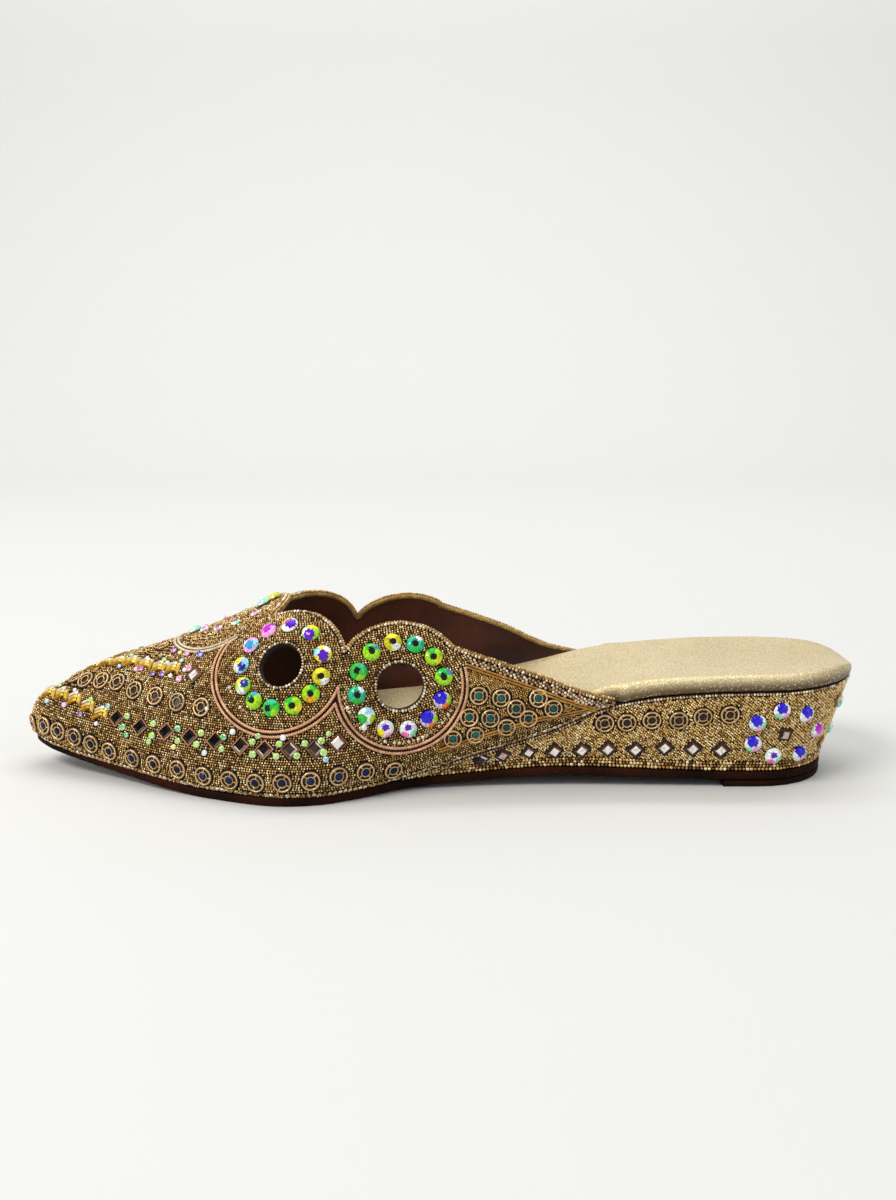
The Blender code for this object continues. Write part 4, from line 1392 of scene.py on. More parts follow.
@dataclass(frozen=True)
class MetalFinish(Finish):
    """Plated wire or braid: a bright colour where it is rubbed, a dark one where it has tarnished."""

    bright: Colour = (226, 190, 130)
    dark: Colour = (120, 80, 40)
    relief: float = 0.0
    pitch: float = 0.7

    def colour(self, paint: Paint) -> None:
        """Tarnish in small patches, and every strand a little lighter or darker."""
        uneven = paint.uneven(3.0, 0.7)
        tone = paint.ranged(paint.carried("chance"), 0.75, 1.0)
        grey = node(paint.tree, "ShaderNodeCombineColor", {"Red": tone, "Green": tone, "Blue": tone})
        colour = paint.mixed(1.0, paint.mixed(uneven, self.bright, self.dark), out(grey), "MULTIPLY")
        paint.feed(Base_Color=colour, Roughness=paint.ranged(uneven, self.roughness - 0.08, self.roughness + 0.15))
        if self.relief:
            paint.bump(paint.use(grain_group, Size=self.pitch, Detail=0.5).outputs["Height"], self.relief)


@dataclass(frozen=True)
class StoneFinish(Finish):
    """Coated cut glass, whose colour is carried facet by facet."""

    specular: float = 0.35

    def colour(self, paint: Paint) -> None:
        """The facets' colours, flecked darker with painted shade, and a painted white highlight where a rim facet
        flashes.
        """
        tint, glint = paint.carried("tint", "Color"), paint.use(glint_group, Size=0.7, Share=0.5)
        # painted shade: random cells of the glass darker, as facets turned from the light
        deep = paint.mixed(1.0, tint, (205, 205, 205), "MULTIPLY")
        colour = paint.mixed(glint.outputs["Mask"], tint, deep)
        # painted highlight: rim facets mixed towards white
        colour = paint.mixed(paint.carried("rim"), colour, (240, 242, 236))
        paint.feed(Base_Color=colour, Roughness=paint.ranged(glint.outputs["Cell"], 0.06, 0.22))
        paint.feed(Specular_IOR_Level=self.specular, Coat_Roughness=0.03)


@dataclass(frozen=True)
class LeatherFinish(Finish):
    """Fine-grained leather with a metallic film: champagne on top, browner in the creases, painted shade down the
    side and painted glints for its glitter.
    """

    film: Colour = (224, 206, 160)
    worn: Colour = (196, 172, 122)
    # band: the colour of the painted shade down the footbed's side, used in the creases too
    band: Colour = (100, 78, 48)
    pitch: float = 0.9
    relief: float = 0.05

    def colour(self, paint: Paint) -> None:
        """The film, the painted shade of the band down the side, the creases and the painted glints of the glitter,
        one over the other.
        """
        grain = paint.use(grain_group, Size=self.pitch, Detail=0.5)
        glint = paint.use(glint_group, Size=0.34, Share=0.10)
        colour = paint.mixed(paint.uneven(26.0, 0.45), self.film, self.worn)
        # painted shade down the side, where the band attribute is 1
        colour = paint.mixed(paint.carried("band"), colour, self.band)
        colour = paint.mixed(paint.ranged(grain.outputs["Crease"], 0.0, 0.4), colour, self.band)
        # painted glints: lit cells mixed towards white
        colour = paint.mixed(paint.ranged(glint.outputs["Mask"], 0.0, 0.6), colour, (255, 250, 228))
        rough = paint.ranged(glint.outputs["Cell"], self.roughness - 0.08, self.roughness + 0.1)
        paint.feed(Base_Color=colour, Roughness=rough)
        paint.bump(grain.outputs["Height"], self.relief)


@dataclass(frozen=True)
class SoleFinish(Finish):
    """Dyed and polished sole leather: nearly black, redder where light catches it, scuffed underneath."""

    base: Colour = (10, 6, 4)
    warm: Colour = (66, 30, 15)

    def colour(self, paint: Paint) -> None:
        """Redder patches, dark creases."""
        uneven, grain = paint.uneven(22.0, 0.7), paint.use(grain_group, Size=1.4, Detail=0.8)
        colour = paint.mixed(uneven, self.base, self.warm)
        colour = paint.mixed(paint.ranged(grain.outputs["Crease"], 0.0, 0.35), colour, self.base)
        paint.feed(Base_Color=colour, Roughness=paint.ranged(uneven, self.roughness, self.roughness + 0.18))
        paint.feed(Specular_IOR_Level=0.05)
        paint.bump(grain.outputs["Height"], 0.04)


@dataclass(frozen=True)
class StudioFinish(Finish):
    """The plain pale paper under and behind the shoe."""

    def colour(self, paint: Paint) -> None:
        """Two nearly equal greys in wide patches."""
        colour = paint.mixed(paint.uneven(300.0, 0.08), (209, 210, 209), (205, 206, 205))
        paint.feed(Base_Color=colour, Specular_IOR_Level=0.2)


MIXED_BATCH = ((0.0, (104, 70, 32)), (0.2, (150, 112, 58)), (0.55, (208, 168, 98)), (0.85, (238, 208, 146)))
MIXED_BATCH += ((1.0, (255, 246, 212)),)
EDGE_BATCH = ((0.0, (128, 98, 66)), (0.35, (188, 158, 118)), (0.7, (220, 196, 162)), (1.0, (248, 236, 214)))
FINE_BATCH = ((0.0, (146, 106, 54)), (0.4, (226, 186, 110)), (0.75, (246, 216, 146)), (1.0, (255, 246, 206)))
GOLD_BATCH = ((0.0, (126, 90, 38)), (0.4, (190, 150, 78)), (0.8, (222, 186, 112)), (1.0, (244, 222, 166)))
FINISHES = {
    "ground": ClothFinish("ground_cloth", 0.8, light=(44, 27, 13), dark=(22, 12, 5)),
    "lining": ClothFinish("velvet_lining", 0.85, 0.0, 0.0, (112, 48, 16), (46, 17, 6), 0.35, 0.05, sheen=0.15),
    "braid": MetalFinish("gold_braid", 0.45, 0.6, 0.0, (216, 180, 108), (132, 94, 44), relief=0.2),
    "beads": BeadFinish("seed_beads", 0.28, 0.6, batch=MIXED_BATCH),
    "bright_beads": BeadFinish("edge_beads", 0.3, 0.6, batch=EDGE_BATCH),
    "fine_beads": BeadFinish("wedge_beads", 0.3, 0.6, batch=FINE_BATCH, tarnish=0.25),
    "gold_beads": BeadFinish("gusset_beads", 0.32, 0.7, batch=GOLD_BATCH, tarnish=0.35),
    "copper": MetalFinish("copper_cord", 0.4, 0.5, bright=(242, 194, 154), dark=(200, 142, 102)),
    "gold_cord": MetalFinish("gold_cord", 0.36, 0.65, bright=(214, 162, 84), dark=(146, 98, 40)),
    "cream_cord": MetalFinish("cream_cord", 0.4, 0.4, bright=(236, 220, 190), dark=(190, 160, 118)),
    "thread": ClothFinish("stitching", 0.7, light=(60, 30, 18), dark=(34, 16, 10), pitch=0.3),
    "wire": MetalFinish("medallion_wire", 0.32, 0.6, bright=(240, 204, 146), dark=(176, 130, 80)),
    # medallion_cup: dark cloth for the cups and trays, partly painted shadow round the mounts, and for the wedge's
    # dark frames
    "cup": ClothFinish("medallion_cup", 0.45, 0.0, 0.05, light=(46, 24, 12), dark=(20, 10, 6), pitch=0.6),
    "frame": MetalFinish("lozenge_frame", 0.3, 0.7, bright=(164, 114, 74), dark=(84, 50, 30)),
    "stone": StoneFinish("coated_glass", 0.1, 0.0, 0.2),
    "glass": StoneFinish("cut_glass", 0.08, 0.1, 0.03, specular=0.08),
    "leather": LeatherFinish("insole_leather", 0.42, 0.5, 0.1),
    "sole": SoleFinish("sole_leather", 0.6),
}


# The upper


@dataclass
class Clearings:
    """Places that the bead ground leaves free for stones, metal and cord."""

    places: list[tuple[Array, float]] = field(default_factory=list)

    def add(self, points: Array, reach: float) -> None:
        """Keeps beads this far away from each point."""
        self.places += [(point, reach) for point in points]

    def free(self, points: Array) -> Array:
        """Which of these points are outside every clearing."""
        tree, kept = tree_of(points), np.ones(len(points), bool)
        for centre, reach in self.places:
            kept[[i for _, i, _ in tree.find_range(centre, reach)]] = False
        return kept


def turned(points: Array, x: Array, away: Array, turn: Array | float, lift: float) -> Spots:
    """Places with their x directions turned about the outward ones, in degrees, and lifted by a distance."""
    a = np.radians(np.broadcast_to(np.asarray(turn, float), (len(points),)))[:, None]
    return points + away * lift, x * np.cos(a) + np.cross(away, x) * np.sin(a), away


@dataclass
class Bench:
    """What every sub-assembly works with: the last, the pattern, the tools, the finishes and the clearings."""

    last: Last
    pattern: UpperPattern
    sewing: Sewing
    finishes: dict[str, Material]
    clearings: Clearings = field(default_factory=Clearings)

    def spots(self, flat: Array, side: Side, turn: Array | float = 0.0, lift: float = 0.0) -> Spots:
        """Places on the cloth, with directions for what is sewn there.

        Args:
            flat: One (q, s) row for each place.
            side: The side, which says where a copy's own x points: to the right as seen from outside.
            turn: Turn about the outward direction, in degrees, counted towards the ridge.
            lift: Distance out from the surface.

        Returns:
            The points, the x directions and the outward directions.
        """
        flat = np.atleast_2d(flat)
        away, behind, ahead = self.last.normal(flat), flat - (0.4, 0.0), flat + (0.4, 0.0)
        behind[:, 0] = np.maximum(behind[:, 0], 0.01)
        x = unit(self.last.point(ahead) - self.last.point(behind)) * -side.value
        return turned(self.last.point(flat), flattened(x, away), away, turn, lift)

    def above(self, side: Side, places: Sequence, turn: Array | float = 0.0, lift: float = 0.0) -> Spots:
        """Places on the cloth, given by the distance from the toe and the length up from the feather line."""
        return self.spots(self.last.above_foot(side, places), side, turn, lift)

    def path(self, flat: Array, lift: float = 0.0) -> Path:
        """A line on the cloth as points and outward directions."""
        away = self.last.normal(flat)
        return self.last.point(flat) + away * lift, away

    def offset(self, flat: Array, distance: float) -> Array:
        """A line moved sideways on the cloth by a real distance, to the left of its own direction."""
        way = np.gradient(flat, axis=0)
        moved, base = flat + unit(np.stack([-way[:, 1], way[:, 0]], axis=1)) * distance, self.last.point(flat)
        for _ in range(4):
            apart = np.linalg.norm(self.last.point(moved) - base, axis=1)
            moved = flat + (moved - flat) * (abs(distance) / np.maximum(apart, 1e-6))[:, None]
        return moved

    def inward(self, flat: Array, distance: float) -> Array:
        """A line along an edge of the pattern moved into the cloth by a real distance."""
        sign = 1.0 if self.pattern.covers(self.offset(flat, 0.8)).mean() > 0.5 else -1.0
        return self.offset(flat, sign * distance)


def dress(piece: Obj, slot: str, *nodes: str) -> Obj:
    """Puts a finished piece on the shoe, where it stands for its solids, which are hidden."""
    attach(piece, "root")
    if nodes:
        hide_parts(*nodes)
    log.info("%s: %d faces", piece.name, len(piece.data.polygons))
    return piece


@dataclass
class UpperCloth:
    """The cloth wall of the upper with its velvet lining, and the braid that binds its edges."""

    bench: Bench
    sunk: float = 0.45
    crease: float = 50.0
    braid_in: float = 0.8
    braid_proud: float = 0.35
    hole_proud: float = 0.04

    def shell(self) -> Obj:
        """The closed wall: cloth outside, lining inside, a rim between them."""
        finishes, (flat, faces) = self.bench.finishes, self.bench.pattern.fill()
        surface, away = self.bench.path(flat)
        count = len(flat)
        back = [tuple(count + i for i in face[::-1]) for face in faces]
        directed = {(face[i], face[(i + 1) % 3]) for face in faces for i in range(3)}
        rim = [(b, a, count + a, count + b) for a, b in sorted(directed) if (b, a) not in directed]
        points = np.concatenate([surface - away * self.sunk, surface - away * WALL])
        made = make_object("upper_cloth", points, faces + back + rim)
        for name in ("ground", "lining", "braid"):
            made.data.materials.append(finishes[name])
        index = np.repeat(np.arange(3, dtype=np.int32), (len(faces), len(back), len(rim)))
        made.data.polygons.foreach_set("material_index", index)
        made.data.set_sharp_from_angle(angle=math.radians(self.crease))
        return made

    def braid(self, name: str, flat: Array, loop: bool, proud: float, finish: Material) -> Obj:
        """A ribbon folded over an edge of the wall.

        Args:
            name: The ribbon's name.
            flat: The edge as a pattern line.
            loop: Whether the edge closes on itself.
            proud: How far it stands out of the edge.
            finish: Its material.

        Returns:
            The ribbon.
        """
        bench = self.bench
        flat = np.concatenate([flat, flat[:1]]) if loop else flat
        edge, away = bench.path(flat)
        across = flattened(unit(bench.path(bench.inward(flat, 1.0))[0] - edge), away)
        if loop:
            across[-1] = across[0] = unit((across[0] + across[-1])[None, :])[0]
        profile = [(0.35, -0.30), (-min(0.15, proud), -0.15), (-proud, -0.55), (-proud, -1.35), (-0.15, -1.95)]
        profile += [(self.braid_in, -2.02), (self.braid_in, -1.70), (0.35, -1.2)]
        rings = np.stack([edge + across * x + away * z for x, z in profile], axis=1)
        rings = rings[:-1] if loop else rings
        points, faces = lofted(list(rings), capped=not loop)
        if loop:
            count, far = len(profile), (len(rings) - 1) * len(profile)
            faces += [(far + j, j, (j + 1) % count, far + (j + 1) % count) for j in range(count)]
        return closed_body(name, points, faces, finish)

    def make(self) -> list[Obj]:
        """Builds the wall and its braid."""
        pattern, finishes, ribbons = self.bench.pattern, self.bench.finishes, []
        cloth = dress(self.shell(), "beaded_cloth", "upper")
        for side in SIDES:
            line = pattern.throat(side, 0.9)
            ribbons.append(self.braid(f"throat_{side.name}", line, False, self.braid_proud, finishes["braid"]))
            for name in ("front", "back"):
                line, title = pattern.ring(side, name).hole_line(0.9), f"hole_{side.name}_{name}"
                ribbons.append(self.braid(title, line, True, self.hole_proud, finishes["ground"]))
        return [cloth, dress(joined("upper_braid", ribbons), "beaded_cloth")]


# distance from the toe and length up from the feather line, on the lateral side; the medial side mirrors it
STONE_MEDALLIONS = (
    (0.9, 4.0), (6.0, 5.9), (11.0, 6.0), (17.0, 5.9), (23.0, 5.2), (29.4, 4.5), (37.5, 4.4), (45.0, 4.5), (53.0, 4.7),
    (61.3, 4.2), (69.5, 4.2), (77.6, 4.3), (85.4, 4.8), (93.3, 5.3), (100.9, 5.9), (108.6, 5.8), (116.9, 4.2),
)
PLAIN_MEDALLIONS = (
    (14.4, 25.6), (18.4, 24.6), (24.3, 25.5), (30.2, 26.2), (36.5, 24.9), (43.9, 24.8), (51.5, 24.4), (59.6, 24.2),
)
SMALL_MEDALLIONS = ((43.3, 45.9), (39.0, 47.3))
BAR_LINES = (
    np.array(((4.6, 16.2), (8.6, 17.3), (14.6, 17.3), (20.2, 16.0), (27.4, 14.6))),
    np.array(((18.5, 33.6), (24.4, 34.7), (33.5, 35.3), (42.8, 34.6), (51.0, 35.4))),
)
LOZENGES = np.array((
    (31.2, 14.9), (39.5, 14.2), (48.3, 14.7), (56.2, 14.7), (64.5, 14.8), (72.6, 14.4), (80.0, 14.0), (87.6, 14.3),
    (94.9, 14.4), (101.4, 15.5),
))
UPPER_LOZENGE = (56.6, 33.9)
# distance from the toe and height
GUSSET_MEDALLIONS = (
    (143.2, 30.3), (150.0, 29.5), (161.2, 29.5), (165.7, 26.5), (154.5, 26.4), (140.3, 23.8), (146.7, 23.5),
    (158.2, 23.4), (151.6, 20.7), (142.1, 18.4), (135.3, 17.3),
)


class Glass(Enum):
    """The looks of the lozenge glasses: table, then the bevels upper right, upper left, lower left, lower right; the
    bevels' light and dark tones are painted highlights and painted shade by the way each faces.
    """

    # bevel tones are painted highlights and shade, lighter where a bevel would catch the light
    BLACK = ((5, 4, 5), (20, 14, 12), (14, 10, 9), (40, 32, 28), (108, 96, 90))
    COAL = ((26, 20, 18), (56, 44, 38), (26, 18, 14), (220, 208, 200), (140, 128, 122))
    SMOKE = ((70, 56, 46), (240, 232, 224), (46, 30, 22), (110, 92, 78), (214, 204, 196))
    PALE = ((232, 228, 226), (150, 110, 84), (206, 190, 176), (240, 238, 236), (120, 84, 62))
    MIRROR = ((248, 244, 238), (124, 78, 56), (90, 52, 36), (216, 198, 184), (164, 128, 106))
    ROSE_MIRROR = ((214, 186, 176), (104, 62, 48), (70, 38, 30), (246, 238, 232), (176, 140, 124))
    AMBER = ((224, 176, 52), (252, 234, 140), (170, 122, 26), (120, 82, 18), (240, 212, 116))
    TOPAZ = ((182, 134, 36), (238, 206, 92), (118, 78, 18), (200, 152, 56), (172, 126, 40))
    CREAM = ((216, 202, 182), (246, 240, 230), (150, 118, 76), (178, 146, 98), (232, 226, 222))

    def shape(self, form: "Diamond | Baguette") -> Obj:
        """The glass with each facet in its own colour."""

        def tone_of(polygon: bpy.types.MeshPolygon) -> Colour:
            """The table's colour, or the colour of the bevel that faces this way, which carries its painted highlight
            and shade.
            """
            angle = (math.degrees(math.atan2(polygon.normal.y, polygon.normal.x)) + 1) % 360
            return linear(self.value[0 if polygon.normal.z > 0.95 else 1 + int(angle // 90)])

        return tinted(form.cut(), tone_of)


LOZENGE_LOOKS = [Glass.BLACK] * 5 + [Glass.COAL] * 2 + [Glass.SMOKE] * 2 + [Glass.PALE]
# a group of bars: the look, the slant in degrees, the steps across the slant and along the row
BAR_GROUP = (
    (Glass.CREAM, -8.0, 1.2, 0.0), (Glass.AMBER, -8.0, 0.0, 0.0), (Glass.TOPAZ, -8.0, -1.2, 0.0),
    (Glass.AMBER, 60.0, 0.0, 2.5),
)
BAR_STEP = 4.9


def kinds_of(looks: Sequence[Enum]) -> Array:
    """The numbers that pick the looks' shapes."""
    return np.array([list(type(look)).index(look) for look in looks], float)


@dataclass
class Trims:
    """Places metal, glass and stones on any surface that answers with spots, and clears the beads round them."""

    bench: Bench
    parts: list[Obj] = field(default_factory=list)
    medallion_clear: float = 3.35
    lozenge_clear: float = 2.45
    corner_out: float = 2.2
    corner_clear: float = 0.95
    bar_clear: float = 0.8
    stone_clear: float = 2.8
    shade_seed: int = 5

    def store_shapes(self) -> None:
        """Builds every shape once and stores it for the sewing."""
        medallion, lozenge, bar = Medallion(), Diamond(), Baguette()
        for name, *shapes in (
            ("bead", bead_shape()), ("gem", gem_shape()), ("wires", medallion.wires()), ("cup", medallion.cup()),
            ("cup_stone", medallion.stone()), ("mount", lozenge.mount()), ("tray", lozenge.tray()),
            ("glass", *(look.shape(lozenge) for look in Glass)), ("bar", *(look.shape(bar) for look in Glass)),
            ("stones", *(look.shape() for look in Stone)),
        ):
            self.bench.sewing.keep(name, *shapes)

    def _sew(self, shape: str, spots: Spots, finish: str, **values: object) -> None:
        """Sews one shape on every spot and remembers the result."""
        name, material = f"{shape}_{len(self.parts)}", self.bench.finishes[finish]
        self.parts.append(self.bench.sewing.set(name, shape, spots, material, **values))

    def medallions(self, spots: Spots, stone: Optional[Colour] = None, size: float = 1.0) -> None:
        """Round mounts, with a stone of the given colour or with an empty cup.

        Args:
            spots: Points, x directions and outward directions.
            stone: The stone's colour, or None for none.
            size: Scale of the whole mount.
        """
        self._sew("cup", spots, "cup", size=size)
        self._sew("wires", spots, "wire", size=size)
        if stone is not None:
            shade = 0.6 + 0.8 * np.random.default_rng(self.shade_seed).random((len(spots[0]), 1))
            tint = np.clip(np.array([linear(stone)]) * shade, 0.0, 1.0)
            tint = np.concatenate([tint, np.ones_like(shade)], axis=1)
            self._sew("cup_stone", spots, "glass", size=size, tint=tint)
        self.bench.clearings.add(spots[0], self.medallion_clear * size)

    def lozenges(self, spots: Spots, looks: Sequence[Glass], size: float = 1.0, dark: bool = False) -> None:
        """Square glasses in wire frames.

        Args:
            spots: Points, x directions towards a corner of the frame, and outward directions.
            looks: The look of each glass.
            size: Scale of the whole.
            dark: Whether the frame is dark enamel, as on the wedge.
        """
        points, x, away = spots
        self._sew("tray", spots, "cup", size=size)
        self._sew("mount", spots, "cup" if dark else "frame", size=size)
        self._sew("glass", spots, "glass", size=size, kind=kinds_of(looks))
        self.bench.clearings.add(points, self.lozenge_clear * size)
        up = np.cross(away, x)
        for way in (x, -x, up, -up):
            self.bench.clearings.add(points + way * self.corner_out * size, self.corner_clear * size)

    def bars(self, spots: Spots, look: Glass) -> None:
        """Narrow bars of one glass."""
        self._sew("bar", spots, "glass", kind=kinds_of([look] * len(spots[0])))
        for reach in (-1.3, 0.0, 1.3):
            self.bench.clearings.add(spots[0] + spots[1] * reach, self.bar_clear)

    def stones(self, spots: Spots, looks: Sequence[Stone], size: float = 1.0) -> None:
        """Coated round stones, each in its own look."""
        self._sew("stones", spots, "stone", size=size, kind=kinds_of(looks))
        self.bench.clearings.add(spots[0], self.stone_clear * size)

    def gems(self, spots: Spots, colours: Sequence[Colour], sizes: Array) -> None:
        """Small pointed stones of the given colours and diameters."""
        tint = np.array([(*linear(colour), 1.0) for colour in colours])
        self._sew("gem", spots, "stone", tint=tint, stretch=np.repeat(sizes[:, None], 3, axis=1))
        for point, size in zip(spots[0], sizes):
            self.bench.clearings.add([point], size / 2 + 0.2)

    def _string(self, name: str, path: Path, finish: str, clear: float, **values: object) -> None:
        """Threads beads along a path, remembers the result and clears the bead ground beside it."""
        name, material = f"{name}_{len(self.parts)}", self.bench.finishes[finish]
        self.parts.append(self.bench.sewing.string(name, "bead", path, material, **values))
        if clear:
            self.bench.clearings.add(path[0], clear)

    def cord(self, path: Path, finish: str, thick: float, slant: float = 38.0) -> None:
        """A twisted cord of short slanted strands laid along a path."""
        form = (0.62, 1.3, 0.9)
        self._string("cord", path, finish, thick / 2 + 0.14, spacing=thick * 0.52, size=thick, form=form, slant=slant)

    def row(
        self, path: Path, finish: str, size: float, form: tuple = (1.0, 1.0, 1.0), gap: float = 1.02, seed: int = 11,
        loop: bool = False, clear: bool = True, spread: float = 0.12,
    ) -> None:
        """A row of beads along a path.

        Args:
            path: Points and outward directions.
            finish: The beads' finish.
            size: Their size.
            form: Their stretch along, across and away from the surface.
            gap: The distance from one to the next as a share of their length.
            seed: For their sizes and colours.
            loop: Whether the path closes on itself.
            clear: Whether the bead ground keeps off the row.
            spread: How far single sizes differ, as a share.
        """
        values = {"size": size, "form": form, "spread": spread, "seed": seed, "loop": loop}
        clearing = size * form[1] / 2 + 0.16 if clear else 0.0
        self._string("row", path, finish, clearing, spacing=size * form[0] * gap, **values)

    def done(self, name: str, slot: str = "beaded_cloth") -> Obj:
        """Joins everything placed since the last call into one piece."""
        piece, self.parts = dress(joined(name, self.parts), slot), []
        return piece


# angle in degrees, counted up from the back, and look
FRONT_STONES = (
    (80, Stone.VIOLET_GOLD), (50, Stone.VIOLET_LIME), (20, Stone.VIOLET_SUN), (-10, Stone.OLIVE_EYE),
    (-40, Stone.AMBER_EYE), (-70, Stone.LIME_EYE), (-100, Stone.GREEN_EYE), (-130, Stone.SPRING_EYE),
    (-160, Stone.SPRING_BLUE), (170, Stone.PEARL_BLUE), (140, Stone.ICE_BLUE), (110, Stone.MAGENTA_PINK),
)
BACK_STONES = (
    (10, Stone.SPRING_EYE), (40, Stone.LIME_EYE), (70, Stone.TEAL_EYE), (100, Stone.OLIVE_EYE),
    (130, Stone.SPRING_EYE), (160, Stone.GREEN_EYE), (-170, Stone.TEAL_EYE), (-140, Stone.PEARL_GREEN),
    (-110, Stone.PEARL_ROSE), (-80, Stone.PEARL_MINT), (-50, Stone.ROYAL_ORANGE), (-20, Stone.ROYAL_ORANGE),
)
# the ring on the middle petal: distance from the toe, y from the heel's centre line
CENTRE_STONES = (
    (53.0, 0.7, Stone.MINT_PALE), (56.4, -2.3, Stone.MINT_ROSE), (61.8, -8.0, Stone.MINT_ROSE),
    (67.8, -9.8, Stone.ICE_VIOLET), (73.8, -9.4, Stone.MINT_ROSE), (75.6, -1.9, Stone.ICE_PALE),
    (78.9, 0.1, Stone.YELLOW_PALE),
)
# the small stones high on the toe: distance from the toe, length up, colour and diameter
HIGH_GEMS = (
    (38.0, 32.8, MAGENTA, 1.9), (45.6, 32.5, VIOLET, 2.0), (51.6, 31.8, ROSE, 2.2), (54.6, 35.8, ROSE, 2.2),
    (48.2, 42.7, MAGENTA, 1.9), (50.5, 41.8, YELLOW, 1.6), (53.1, 41.5, ROSE, 2.0), (57.7, 41.6, ROYAL, 2.5),
    (53.2, 35.2, WHITE, 1.6), (46.9, 36.9, WHITE, 1.5), (61.5, 24.0, WHITE, 1.5), (109.0, 19.0, WHITE, 1.9),
)
ROW_GEMS = (ICE, LIME, PINK, WHITE, VIOLET, LIME, WHITE)
BETWEEN_GEMS = (LIME, GREEN, LIME, WHITE, MINT, YELLOW, ICE, LIME)
NAVY_GLASS, TEAL_GLASS = (20, 38, 76), (22, 92, 92)


